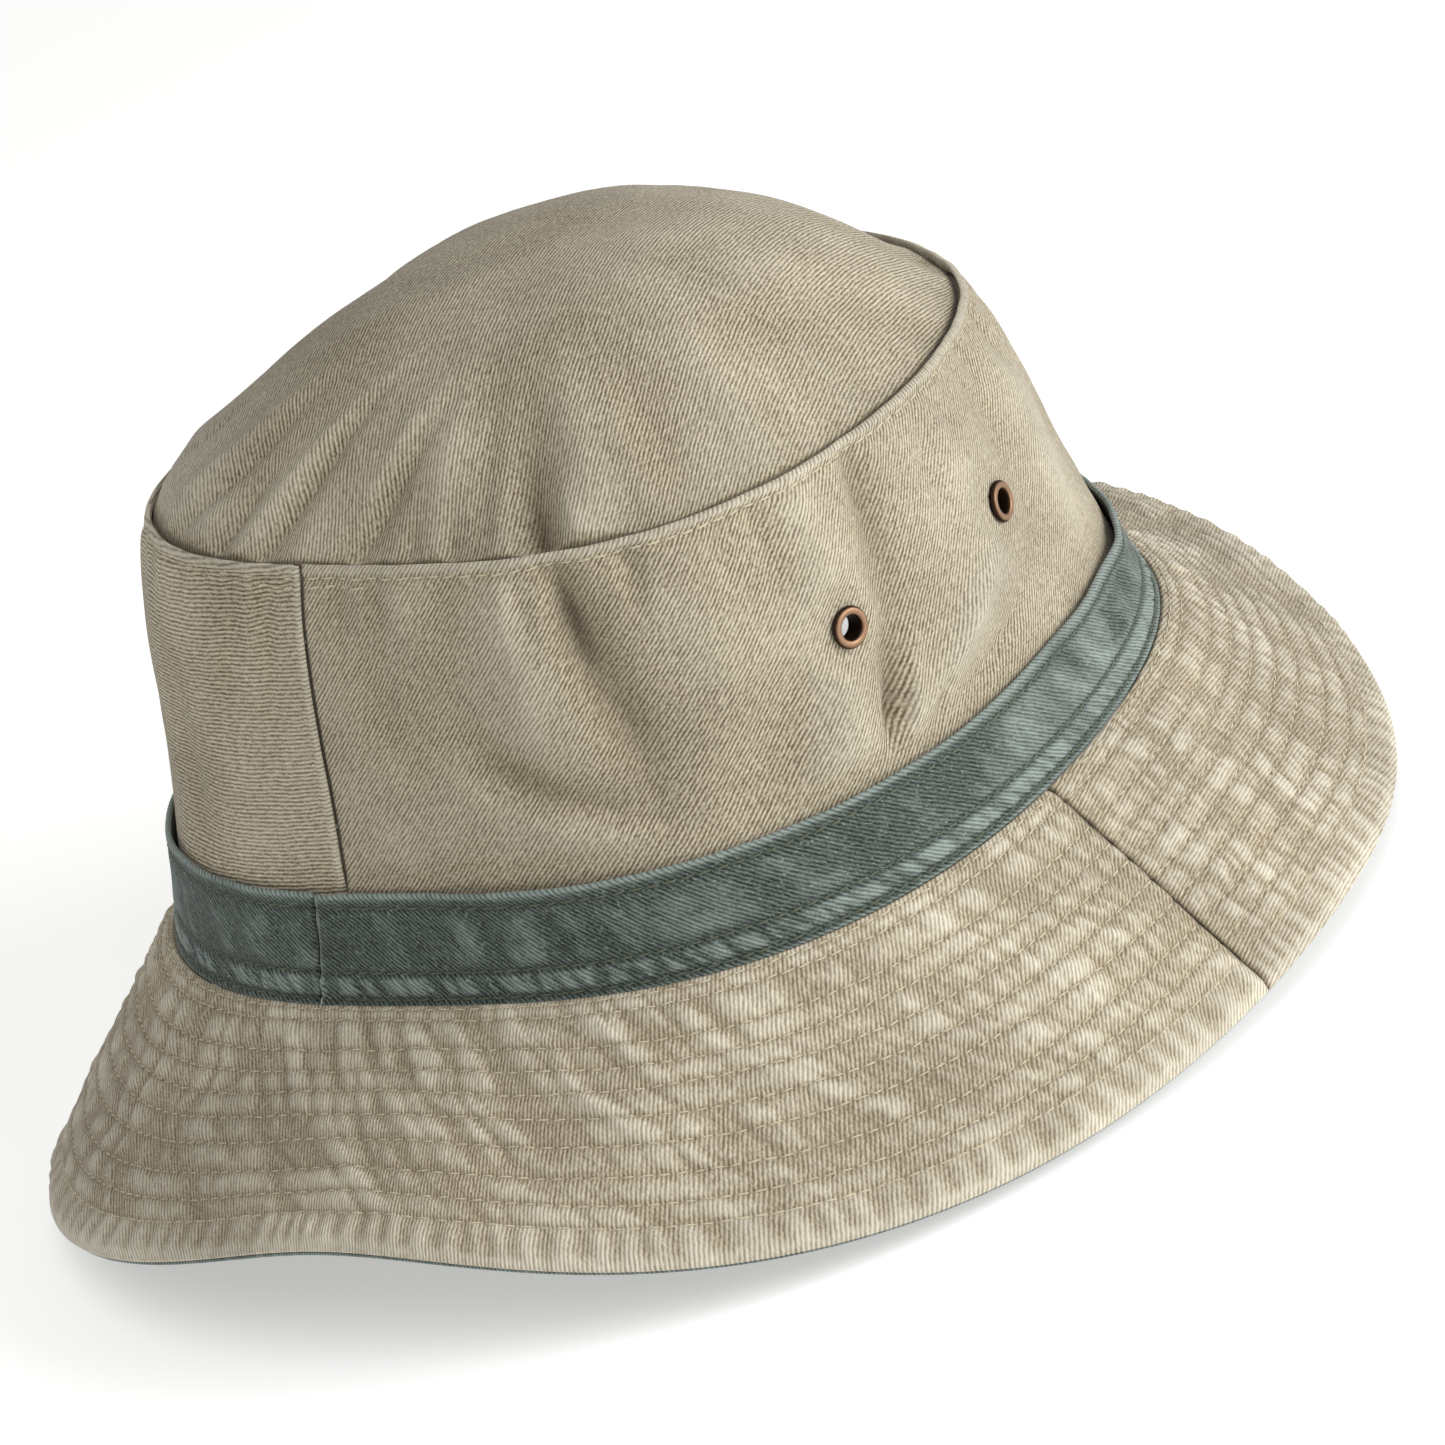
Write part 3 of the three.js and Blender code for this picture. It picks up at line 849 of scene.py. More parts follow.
def twill(name, ridge, groove, worn, pitch, wear_strength, fleck_strength):
    """Washed twill: ribs of short broken floats, with dark grooves and soft mottling.

    Crests where the value is over 0 fade to the worn colour. Below 0 it is painted shade:
    hollows keep the dark groove colour, and the inside of a seam, towards -1, is painted nearly
    black with the shadow colour.
    """
    bench = Bench(name)
    flat = bench.cloth_pattern()
    along, across = bench.split(flat)
    drift = bench.waves(flat, 130.0, 2.0) * 0.0007 + bench.waves(flat, 900.0, 1.0) * 0.00022
    rib = ((across + drift) * (FULL_TURN / pitch)).sine() * 0.5 + 0.5
    step = ((along + (across + drift) * 0.8) * (FULL_TURN / (1.3 * pitch))).sine() * 0.5 + 0.5
    fleck = bench.waves(bench.stretched(flat, 520.0, 1700.0), 1.0, 2.0, 0.6)
    speck = bench.waves(bench.stretched(flat, 900.0, 2600.0), 1.0, 1.0)
    mottle = bench.waves(flat, 42.0, 4.0, 0.62)
    cloud = bench.waves(flat, 11.0, 2.0)
    wear = bench.attribute("wear")
    grit = bench.waves(bench.stretched(flat, 1300.0, 2300.0), 1.0, 1.0)
    floats = rib * 0.72 + step * rib * 0.25 + 0.08
    raised = (floats + (fleck - 0.5) * 1.5 + (grit - 0.5) * 1.2).held()
    colour = bench.mix(raised, rgba(groove), rgba(ridge))
    rubbed = (wear * 1.15 + (mottle - 0.5) * 1.1 - 0.12).held() * (rib * 0.55 + fleck * 0.75)
    colour = bench.mix((rubbed * wear_strength).held(), colour, rgba(worn))
    # Painted shade: below 0, in hollows, creases and seams, the colour goes to the dark groove colour
    # and then to the shadow colour.
    colour = bench.mix((wear * -0.8).held(), colour, rgba(groove))
    colour = bench.mix(((wear + 0.45) * -1.5).held(), colour, SHADOW)
    pale = ((speck - 0.62) * 9.0).held() * fleck_strength
    colour = bench.mix(pale, colour, rgba(worn))
    colour = bench.shaded(colour, (mottle - 0.5) * 0.46 + (cloud - 0.5) * 0.4 + 1.0)
    height = rib * 0.7 + step * rib * 0.25 + fleck * 0.5
    roughness = 0.95 - wear * 0.08 - raised * 0.06
    return bench.surface(colour, roughness, FUZZ, height, 0.16 * MM, 0.75)


def plain_cotton(name, tint, thread_pitch, bump_depth):
    """Plain weave: two crossed sets of fine waves, with soft stains."""
    bench = Bench(name)
    flat = bench.cloth_pattern()
    along, across = bench.split(flat)
    drift = bench.waves(flat, 300.0) * 0.0004
    turns = FULL_TURN / thread_pitch
    warp = ((along + drift) * turns).sine()
    weft = ((across + drift) * turns).sine()
    weave = warp * weft * 0.5 + 0.5
    stain = bench.waves(flat, 60.0, 4.0)
    colour = bench.shaded(rgba(tint), weave * 0.24 + (stain - 0.5) * 0.5 + 0.86)
    roughness = 0.92 - weave * 0.08
    return bench.surface(colour, roughness, FUZZ, weave, bump_depth)


def felt(name, tint):
    """Pressed fibres: very fine waves, with soft stains."""
    bench = Bench(name)
    flat = bench.cloth_pattern()
    fibres = bench.waves(flat, 1600.0, 4.0, 0.7)
    stain = bench.waves(flat, 90.0, 3.0)
    colour = bench.shaded(rgba(tint), fibres * 0.3 + (stain - 0.5) * 0.3 + 0.82)
    return bench.surface(colour, 0.96 - fibres * 0.1, FUZZ, fibres, 0.12 * MM)


def sewing_thread(name, tint):
    """Twisted thread: fine waves for its plies, with soft stains."""
    bench = Bench(name)
    place = bench.own_place()
    plies = bench.waves(place, 2600.0, 2.0)
    stain = bench.waves(place, 120.0, 2.0)
    colour = bench.shaded(rgba(tint), (plies - 0.5) * 0.5 + (stain - 0.5) * 0.5 + 1.0)
    return bench.surface(colour, 0.7 + plies * 0.2, FUZZ, plies, 0.05 * MM)


def aged_brass(name, patina, metal):
    """Antiqued metal: dark in the hollows, rubbed bright on the crests, with fine scratches."""
    bench = Bench(name)
    place = bench.own_place()
    wear = bench.attribute("wear")
    grime = bench.waves(place, 900.0, 4.0, 0.6)
    scratches = bench.waves(place, 3000.0, 2.0)
    rubbed = (wear * 1.25 + (grime - 0.5) * 0.7 - 0.12).held()
    colour = bench.mix(rubbed, rgba(patina), rgba(metal))
    roughness = 0.62 - rubbed * 0.16 + (scratches - 0.5) * 0.2
    height = grime * 0.6 + scratches * 0.4
    return bench.surface(colour, roughness, {"Metallic": 1.0}, height, 0.03 * MM, 0.5)


def material(name, maker, *settings):
    """A material by name, made the first time that a piece asks for it."""
    return bpy.data.materials.get(name) or maker(name, *settings)


# Distance from rib to rib, strength of the worn colour and strength of its flecks.
TWILLS = {
    "crown": (0.77 * MM, 0.75, 0.3),
    "brim": (0.75 * MM, 1.0, 0.3),
    "green": (0.75 * MM, 0.95, 0.6),
}


def washed_twill(cloth, colours):
    """The twill of the crown, of the brim or of the green pieces."""
    worn = [getattr(colours, f"{cloth}_{part}") for part in ("ridge", "groove", "worn")]
    return material(f"washed_{cloth}_twill", twill, *worn, *TWILLS[cloth])


class HAT_OT_crown_tip(bpy.types.Operator):
    """Build the domed tip panel with its radial gathers"""

    bl_idname = "hat.crown_tip"
    bl_label = "Crown tip"

    def execute(self, context):
        surface = HatSurface(context)
        cloth = surface.cloth
        columns, rows = 480, 84
        turn = np.linspace(0, FULL_TURN, columns, endpoint=False)[None, :]
        part = np.linspace(0, 1, rows)[:, None] ** 0.85
        turn, part = np.broadcast_arrays(turn, part)
        folded = surface.tip_relief(turn, part)
        centre = surface.tip_relief(np.zeros_like(turn), np.zeros_like(part))
        relief = folded * ease(0, 0.2, part)
        relief = relief + centre * fade(0, 0.2, part)
        welt = 0.35 * MM * ease(0.95, 0.99, part)
        bulge = 1.5 * MM * (1 - part**2)
        relief = relief + welt + bulge
        full = rounded((1 - part) * TIP_REACH, 0.5 * MM)
        half = cloth.twill / 2
        face = surface.dome(turn, part, relief - half + half * full)
        back = surface.dome(turn, part, relief - half - half * full)
        steps = np.linalg.norm(np.diff(face, axis=0), axis=-1)
        reach = np.concatenate([np.zeros((1, columns)), np.cumsum(steps, 0)])
        direction = np.arctan2(*(face - face[:1])[-1].T[1::-1])[None, :]
        flat = np.stack([reach * np.cos(direction), reach * np.sin(direction)], -1)
        # Painted shade: the value falls below 0 in the hollows of the folds, and a painted shadow line
        # runs round the seam's edge; the crests are worn pale.
        painted_seam_shadow = 1.2 * ease(0.975, 0.995, part)
        wear = np.clip(0.3 + 0.22 * folded / MM - painted_seam_shadow, -1, 1)
        tip = shell("sewn_crown_tip", face, back, flat, wear, cloth.tip_grain, wrap=True)
        look = washed_twill("crown", context.scene.hat_colours)
        attach(tip, "khaki_crown_twill", look, "crown_tip")
        declare_sheet(flat)
        return {"FINISHED"}


class HAT_OT_side_panels(bpy.types.Operator):
    """Build the two side panels, with holes for the eyelets and a lapped back seam"""

    bl_idname = "hat.side_panels"
    bl_label = "Side panels"

    def execute(self, context):
        look = washed_twill("crown", context.scene.hat_colours)
        surface = HatSurface(context)
        grains = {"left": surface.cloth.left_grain, "right": surface.cloth.right_grain}
        for side, middle in (("left", LEFT), ("right", RIGHT)):
            node = f"crown_side_{side}"
            panel, flat = self.panel(surface, f"sewn_{node}", middle, grains[side])
            attach(panel, "khaki_crown_twill", look, node)
            declare_sheet(flat)
        return {"FINISHED"}

    def panel(self, surface, name, middle, grain):
        """Half of the wall: its folds, a lapped end, a tucked end and a pressed top edge.

        The end with the larger angle is folded over the other panel's end, which lies lower.
        """
        cloth = surface.cloth
        top = surface.shape.wall_height
        foot = 2 * cloth.gap
        columns, rows = 372, 104
        margin = 0.1 * MM / surface.radius
        start, end = middle - BACK + margin, middle + BACK - margin
        turn = np.linspace(start, end, columns)[None, :]
        height = foot + (top - foot) * np.linspace(0, 1, rows)[:, None] ** 0.92
        turn, height = np.broadcast_arrays(turn, height)
        relief = surface.wall_relief(turn, height)
        to_end = from_ends(turn) * surface.radius * SEAM_TO_WALL
        laps_over = turn > middle
        above_band = ease(cloth.band_width - 1 * MM, cloth.band_width + 4 * MM, height)
        fold = fade(1.1 * MM, 2.2 * MM, to_end)
        under = fade(1.0 * MM, 6.0 * MM, to_end)
        sunk = 0.2 * under + 0.2 * fade(0.5 * MM, 1.4 * MM, to_end)
        seam_lift = np.where(laps_over, 0.45 * MM * fold, -sunk * MM) * above_band
        from_top = top - height
        ridge = 0.35 * MM * fade(1.1 * MM, 2.0 * MM, from_top)
        row = surface.stitches.tip_row
        groove = -0.22 * MM * bell(from_top - row, 0.7 * MM)
        full = rounded(from_top, 0.6 * MM) * rounded(height - foot, 0.4 * MM)
        full = full * rounded(to_end, 0.5 * MM)
        half = cloth.twill / 2
        middle_out = relief + seam_lift + groove - half
        face = surface.wall(turn, height, middle_out + (half + ridge) * full)
        back = surface.wall(turn, height, middle_out - half * full)
        flat = np.stack([(turn - middle) * surface.radius, height], -1)
        edge = fade(0.7 * MM, 1.8 * MM, from_top)
        lap = fade(0.9 * MM, 1.9 * MM, to_end) * laps_over * above_band
        # Worn pale at the top edge and on the lapped fold; painted shade in the hollows of the folds
        # and along the row of stitches below the tip seam.
        wear = 0.3 + 0.24 * relief / MM + 0.85 * edge + 0.8 * lap
        wear = wear - 0.5 * bell(from_top - row, 0.8 * MM)
        # Painted shadow, nearly black, where the tucked end lies under the lapped one; the wall is
        # also made darker just above the band.
        tucked = fade(0.3 * MM, 0.8 * MM, to_end) * ~laps_over * above_band
        wear = wear - 1.6 * tucked - 0.3 * fade(1 * MM, 7 * MM, height - cloth.band_width)
        quad_turn = (turn[1:, 1:] + turn[:-1, :-1]) / 2
        quad_height = (height[1:, 1:] + height[:-1, :-1]) / 2
        hole = surface.eyelets.hole / 2 + surface.eyelets.wall + 0.5 * MM
        kept = surface.from_eyelets(quad_turn, quad_height) > hole
        wear = np.clip(wear, -1, 1)
        return shell(name, face, back, flat, wear, grain, kept=kept), flat


class HAT_OT_linings(bpy.types.Operator):
    """Build the sweatband and the tapes that cover the seams inside the crown"""

    bl_idname = "hat.linings"
    bl_label = "Sweatband and seam tapes"

    def execute(self, context):
        surface = HatSurface(context)
        colours = context.scene.hat_colours
        cotton = material("worn_sweatband", plain_cotton, colours.sweatband, 0.9 * MM, 0.1 * MM)
        binding = material("seam_binding", plain_cotton, colours.tape, 0.8 * MM, 0.12 * MM)
        c = surface.cloth
        margin = c.join_gap / 2 / surface.radius
        ring = np.linspace(BACK + margin, BACK + FULL_TURN - margin, 420)[None, :]
        inner = -c.twill - c.gap
        heights = np.linspace(2 * c.gap, c.sweatband_width, 26)[:, None]
        band, flat = self.strip(surface, "sweatband", ring, heights, inner, c.sweatband_cloth)
        attach(band, "sweatband_cotton", cotton, "sweatband")
        declare_sheet(flat)
        tape_top = surface.tip_tape_top()
        heights = np.linspace(tape_top - c.tip_tape_width, tape_top, 10)[:, None]
        tapes = [("tip_seam_tape", ring, heights, inner)]
        half = c.seam_tape_width / 2 / surface.radius
        low = c.sweatband_width + 4 * c.gap
        high = tape_top - c.tip_tape_width - 3 * c.gap
        heights = np.linspace(low, high, 40)[:, None]
        for side, middle in (("back", BACK), ("front", FRONT)):
            turns = np.linspace(middle - half, middle + half, 16)[None, :]
            tapes.append((f"{side}_seam_tape", turns, heights, -c.twill - 2 * c.gap))
        for node, *place in tapes:
            attach(self.strip(surface, node, *place, c.tape)[0], "binding_tape", binding, node)
        return {"FINISHED"}

    def strip(self, surface, node, turns, heights, outer, thickness):
        """A strip along the inside of the wall, with the wall's folds and rounded edges."""
        turn, height = np.broadcast_arrays(turns, heights)
        to_edge = np.minimum(height - heights.min(), heights.max() - height)
        to_end = from_ends(turns) * surface.radius
        full = rounded(to_edge, 0.4 * MM) * rounded(to_end, 0.4 * MM)
        half = thickness / 2
        middle_out = outer - half + surface.wall_relief(turns, heights)
        face = surface.wall(turn, height, middle_out + half * full)
        back = surface.wall(turn, height, middle_out - half * full)
        middle_turn = (turns.min() + turns.max()) / 2
        girth = surface.radius * (1 - TAPER * heights.mean())
        flat = np.stack([(turn - middle_turn) * girth, height], -1)
        wear = fade(0.5 * MM, 2 * MM, to_edge)
        return shell(f"sewn_{node}", face, back, flat, wear, 0.0), flat


# Directions in degrees of a fold that stands out at the band's top, of a step beside it and of
# the side of the band that faces the key light and is painted paler, each with its reach.
STANDING_FOLD = (219, 6)
STEP = (209, 2.5)
KEY_LIGHT_SIDE = (203, 30)


def band_relief(surface, turn, height):
    """Puckers of the band, and how worn each place is, with painted light and shade.

    Sharp ridges stand between its two lower rows, and smooth waves at three sizes lie in the
    field above. The top edge is lifted in waves, and the foot flares out over the brim seam.
    The rows of stitches are grooves with painted shade in them, and the side of the band that
    faces the key light is painted paler; what stands up is worn.
    """
    s = surface.stitches
    top = surface.cloth.band_width
    foot = surface.cloth.gap
    x = surface.radius * turn
    low, middle, high = foot + s.band_low_row, foot + s.band_middle_row, top - s.band_top_row
    between = ease(low, low + 1.6 * MM, height) * fade(middle - 1.6 * MM, middle, height)
    field = ease(middle, middle + 3 * MM, height) * fade(high - 3 * MM, high, height)
    pucker = 1 - 2.2 * np.abs(noise((x + 0.8 * height) / (2.7 * MM), height / (8 * MM), seed=31))
    pucker = np.maximum(0, pucker)
    ripple = noise((x + 0.55 * height) / (6.5 * MM), height / (15 * MM), seed=32)
    fine = np.abs(noise((x + 0.8 * height) / (2.6 * MM), height / (6 * MM), seed=35))
    slow = noise(x / (24 * MM), height / (26 * MM), seed=33)
    loose = np.maximum(0, noise(x / (21 * MM), 0.5, seed=34) + 0.1)
    lift = ease(top - 9 * MM, top, height) * loose
    degrees = np.degrees(around(turn, RIGHT))
    proud, step, painted_light = (bell(degrees - at, reach) for at, reach in (STANDING_FOLD, STEP, KEY_LIGHT_SIDE))
    proud = proud * ease(top - 12 * MM, top, height)
    relief = 0.75 * MM * pucker * between
    relief = relief + field * (0.55 * MM * ripple + 0.3 * MM * slow + 0.22 * MM * fine)
    relief = relief + 1.0 * MM * lift + 2.0 * MM * proud + 0.9 * MM * step * field
    rows = np.zeros(relief.shape)
    for row in (low, middle, high):
        rows = rows + bell(height - row, 0.6 * MM)
    flare = 0.8 * MM * fade(foot, foot + 3.2 * MM, height)
    rub = 0.55 * ripple + 0.35 * slow + 0.5 * (fine - 0.3)
    # Worn pale on the puckers; painted paler on the side that faces the key light; painted shade along
    # the rows of stitches.
    wear = 0.12 + 1.0 * pucker * between + field * rub + 0.45 * painted_light - 0.7 * rows
    return np.maximum(relief + flare - 0.2 * MM * rows + 0.12 * MM, -0.1 * MM), wear


class HAT_OT_band(bpy.types.Operator):
    """Build the contrast band with its folded edges and its slanted join"""

    bl_idname = "hat.band"
    bl_label = "Contrast band"

    def execute(self, context):
        surface = HatSurface(context)
        cloth = surface.cloth
        foot = cloth.gap
        columns, rows = 900, 46
        slant = np.radians(1.2)  # turn of the join between the foot and the top of the band
        heights = (foot + (cloth.band_width - foot) * np.linspace(0, 1, rows))[:, None]
        along = np.linspace(0, 1, columns)[None, :]
        margin = 0.35 * MM / surface.radius
        start = cloth.band_join + margin + slant * (heights / cloth.band_width - 0.5)
        turn = start + along * (FULL_TURN - 2 * margin)
        height = np.broadcast_to(heights, turn.shape)
        relief, wear = band_relief(surface, turn, height)
        head = along * FULL_TURN * surface.radius
        tail = (1 - along) * FULL_TURN * surface.radius
        relief = relief + 0.45 * MM * fade(2.5 * MM, 6 * MM, head)
        relief = relief - 0.1 * MM * fade(0.5 * MM, 4 * MM, tail)
        from_edge = np.minimum(height - foot, cloth.band_width - height)
        full = rounded(from_edge, 0.6 * MM) * rounded(np.minimum(head, tail), 0.6 * MM)
        half = cloth.band_cloth / 2
        middle_out = cloth.gap + half + relief
        face = surface.wall(turn, height, middle_out + half * full)
        back = surface.wall(turn, height, middle_out - half * full)
        flat = np.stack([(turn - BACK - np.pi) * surface.radius, height], -1)
        edge = fade(0.3 * MM, 1.3 * MM, np.minimum(from_edge, head))
        wear = np.clip(wear + 0.9 * edge, -1, 1)
        band = shell("sewn_hat_band", face, back, flat, wear, cloth.band_grain)
        attach(band, "green_twill", washed_twill("green", context.scene.hat_colours), "hat_band")
        declare_sheet(flat)
        return {"FINISHED"}


# Each half of the brim with its two ends and its middle, and each layer that is seen with the
# side it lies on and the seed of its puckers.
BRIM_HALVES = (("back", LEFT, RIGHT, BACK), ("front", RIGHT, RIGHT + np.pi, FRONT))
BRIM_LAYERS = (("brim_top", 1, 41), ("under_brim", -1, 51))


def brim_grid(surface, start, end, columns, fineness):
    """Directions, row numbers and parts of the way to the next row.

    Grid lines follow the rows of stitches and crowd together near them and at the edge.
    """
    rows = surface.brim_rows()
    row_numbers, parts = [], []
    for i, gap in enumerate(np.diff(rows)):
        steps = max(3, int(round(gap / fineness)))
        t = np.arange(steps) / steps
        row_numbers += [i] * steps
        parts += (t - 0.1 * np.sin(FULL_TURN * t)).tolist()
    edge_parts = [0.945, 0.965, 0.98, 0.992, 1.0]
    row_numbers += [len(rows) - 2] * len(edge_parts)
    parts += edge_parts
    order = np.argsort(np.array(row_numbers) + np.array(parts))
    row = np.array(row_numbers)[order][:, None]
    part = np.array(parts)[order][:, None]
    margin = 0.06 * MM / surface.radius
    turn = np.linspace(start + margin, end - margin, columns)[None, :]
    return np.broadcast_arrays(turn, row, part)


def brim_pattern(surface, turn, distance, middle):
    """Flat pattern of half a brim, unrolled from the cone of its mean droop.

    It is a ring sector. Its reach is the seam's radius over the cosine of the droop, plus the
    distance from the seam, and its angle is the direction times that cosine.
    """
    spread = np.cos(surface.shape.brim_droop)
    reach = surface.radius / spread + distance
    swing = (turn - middle) * spread
    return np.stack([reach * np.sin(swing), reach * np.cos(swing)], -1)


class HAT_OT_brim(bpy.types.Operator):
    """Build both halves of the brim: top layer, interlining and under brim"""

    bl_idname = "hat.brim"
    bl_label = "Brim layers"

    def execute(self, context):
        surface = HatSurface(context)
        colours = context.scene.hat_colours
        cloth = surface.cloth
        looks = {
            "brim_top": ("khaki_brim_twill", washed_twill("brim", colours)),
            "under_brim": ("green_twill", washed_twill("green", colours)),
        }
        stiffener = material("pressed_felt", felt, colours.interlining)
        grains = {"back": cloth.back_brim_grain, "front": cloth.front_brim_grain}
        for side, start, end, middle in BRIM_HALVES:
            grid = brim_grid(surface, start, end, 540, 0.72 * MM)
            coarse = brim_grid(surface, start, end, 260, 1.6 * MM)
            for layer, sign, seed in BRIM_LAYERS:
                node = f"{layer}_{side}"
                piece, flat = self.layer(surface, node, grid, sign, seed, middle, grains[side])
                attach(piece, *looks[layer], node)
                declare_sheet(flat)
            node = f"brim_interlining_{side}"
            piece, flat = self.core(surface, node, coarse, middle)
            attach(piece, "brim_interlining", stiffener, node)
            declare_sheet(flat)
        return {"FINISHED"}

    def layer(self, surface, node, grid, sign, seed, middle, grain):
        """The quilted cloth over or under the interlining, tucked in at the seam, rolled over at
        the edge, and pressed flat where its ends are sewn to the other half."""
        turn, row, part = grid
        cloth = surface.cloth
        width = surface.shape.brim_width
        distance = surface.brim_distance(turn, row, part)
        relief, worn = surface.brim_relief(turn, row, part, seed)
        to_edge = width - distance
        tails = from_ends(turn) * (surface.radius + distance)
        pressed = 1 - 0.5 * fade(0.2 * MM, 1.8 * MM, tails)
        relief = relief * pressed
        relief = relief * fade(width - 2.2 * MM, width - 0.6 * MM, distance)
        tuck = -0.4 * MM * fade(0.2 * MM, 1.4 * MM, distance)
        roll = -0.62 * MM * ease(width - 2.2 * MM, width, distance)
        full = rounded(to_edge, 0.55 * MM) * rounded(tails, 0.4 * MM)
        half = cloth.brim_cloth / 2
        middle_rise = cloth.interlining / 2 + cloth.gap + half
        rise = middle_rise + relief + tuck + roll - 0.12 * MM * fade(0, 1.2 * MM, tails)
        face = surface.brim(turn, distance, sign * (rise + half * full))
        back = surface.brim(turn, distance, sign * (rise - half * full))
        flat = brim_pattern(surface, turn, distance, middle)
        edge = fade(0.8 * MM, 3.0 * MM, to_edge)
        # The puckers' wear and painted shade carry over; worn pale near the edge; a painted shadow
        # line runs along the sewn ends at the side seams.
        wear = 0.95 * worn * pressed + 0.7 * edge - 0.9 * fade(0.3 * MM, 0.9 * MM, tails)
        return shell(f"sewn_{node}", face, back, flat, np.clip(wear, -1, 1), grain), flat

    def core(self, surface, node, grid, middle):
        """The flat interlining, a little short of both edges of the brim."""
        turn, row, part = grid
        cloth = surface.cloth
        width = surface.shape.brim_width
        distance = surface.brim_distance(turn, row, part)
        inside = cloth.edge_turn + (width - 2 * cloth.edge_turn) * distance / width
        ends = np.minimum(inside - cloth.edge_turn, width - cloth.edge_turn - inside)
        full = rounded(ends, 0.4 * MM) * cloth.interlining / 2
        face = surface.brim(turn, inside, full)
        back = surface.brim(turn, inside, -full)
        flat = brim_pattern(surface, turn, inside, middle)
        return shell(f"sewn_{node}", face, back, flat, np.zeros(turn.shape), 0.0), flat


def turned_ring(name, outline, shine, axes, steps):
    """A closed outline of radius and height, carried round an axis that stands on the wall."""
    place, side, rise, facing = axes
    turns = np.linspace(0, FULL_TURN, steps, endpoint=False)
    radius, height = outline.T
    ring = (
        radius[:, None, None] * np.cos(turns)[None, :, None] * side
        + radius[:, None, None] * np.sin(turns)[None, :, None] * rise
        + height[:, None, None] * facing
        + place
    )
    count = len(outline)
    quads = grid_quads(count + 1, steps, True) % (count * steps)
    return new_piece(name, ring.reshape(-1, 3), quads, wear=np.repeat(shine, steps))


def wall_axes(surface, turn):
    """Where an eyelet stands, and the directions along the wall, up it and out of it."""
    step_up, step_round = 0.5 * MM, 0.01
    height = surface.eyelet_height()
    here = surface.wall(turn, height, 0.0)
    rise = surface.wall(turn, height + step_up, 0.0) - here
    rise = rise / np.linalg.norm(rise)
    beside = surface.wall(turn + step_round, height, 0.0) - here
    facing = np.cross(beside, rise)
    facing = facing / np.linalg.norm(facing)
    return here, np.cross(rise, facing), rise, facing


class HAT_OT_eyelets(bpy.types.Operator):
    """Build the four eyelets and their washers as rounded rings of metal"""

    bl_idname = "hat.eyelets"
    bl_label = "Eyelets"

    def execute(self, context):
        surface = HatSurface(context)
        colours = context.scene.hat_colours
        look = material("aged_brass", aged_brass, colours.patina, colours.metal)
        rings = {"eyelet": self.eyelet_outline(surface), "eyelet_washer": self.washer_outline(surface)}
        for place, turn in surface.eyelet_turns().items():
            axes = wall_axes(surface, turn)
            for kind, (outline, shine) in rings.items():
                node = f"{kind}_{place}"
                ring = turned_ring(f"set_{node}", outline, shine, axes, surface.eyelets.steps)
                attach(ring, "antique_brass", look, node)
        return {"FINISHED"}

    def eyelet_outline(self, surface):
        """Rounded face, straight barrel and clenched foot: two half ellipses joined by lines."""
        e = surface.eyelets
        hole, rim, curl = e.hole / 2, e.flange / 2, e.curl / 2
        barrel = hole + e.wall
        face = e.clearance
        washer_back = -surface.cloth.twill - 2 * e.clearance - e.washer_thickness
        foot = washer_back - surface.cloth.gap
        t = np.linspace(0, np.pi, 22)
        middle, reach = (hole + rim) / 2, (rim - hole) / 2
        flat_top = np.sign(np.cos(t)) * np.abs(np.cos(t)) ** 0.8
        crown = np.stack([middle + reach * flat_top, face + e.flange_rise * np.sin(t) ** 0.75], -1)
        middle, reach = (hole + curl) / 2, (curl - hole) / 2
        heel = np.stack([middle - reach * np.cos(t), foot - e.wall * np.sin(t)], -1)
        joints = np.array([(barrel, foot + 0.05 * MM), (barrel, face - 0.05 * MM)])
        under = np.array([(rim - 0.3 * MM, face - 0.12 * MM)])
        outline = np.concatenate([crown, heel, joints, under])
        shine = np.zeros(len(outline))
        shine[: len(t)] = ease(0.15, 0.45, t / np.pi) * fade(0.62, 0.86, t / np.pi)
        return outline, shine

    def washer_outline(self, surface):
        """A flat ring with rounded rims."""
        e = surface.eyelets
        hole = e.hole / 2 + e.wall + surface.cloth.gap
        rim = e.washer / 2
        face = -surface.cloth.twill - 2 * e.clearance
        half = e.washer_thickness / 2
        t = np.linspace(-np.pi / 2, np.pi / 2, 9)
        outer = np.stack([rim - half + half * np.cos(t), face - half + half * np.sin(t)], -1)
        inner = np.stack([hole + half - half * np.cos(t), face - half - half * np.sin(t)], -1)
        outline = np.concatenate([outer, inner])
        return outline, np.full(len(outline), 0.35)


def stitch_places(path, start, end, pitch):
    """Directions of stitches that lie at equal distances along a row."""
    turn = np.linspace(start, end, 4000)
    points = path(turn, 0.0)
    steps = np.linalg.norm(np.diff(points, axis=0), axis=-1)
    length = np.concatenate([[0.0], np.cumsum(steps)])
    count = max(1, int(length[-1] / pitch))
    return np.interp((np.arange(count) + 0.5) * length[-1] / count, length, turn)


def stitch_row(path, places, step):
    """Middle, run and outward direction of each stitch of a row."""
    here = path(places, 0.0)
    run = path(places + step, 0.0) - path(places - step, 0.0)
    run = run / np.linalg.norm(run, axis=-1, keepdims=True)
    facing = path(places, 0.5 * MM) - here
    side = np.cross(facing, run)
    side = side / np.linalg.norm(side, axis=-1, keepdims=True)
    return here, run, side, np.cross(run, side)


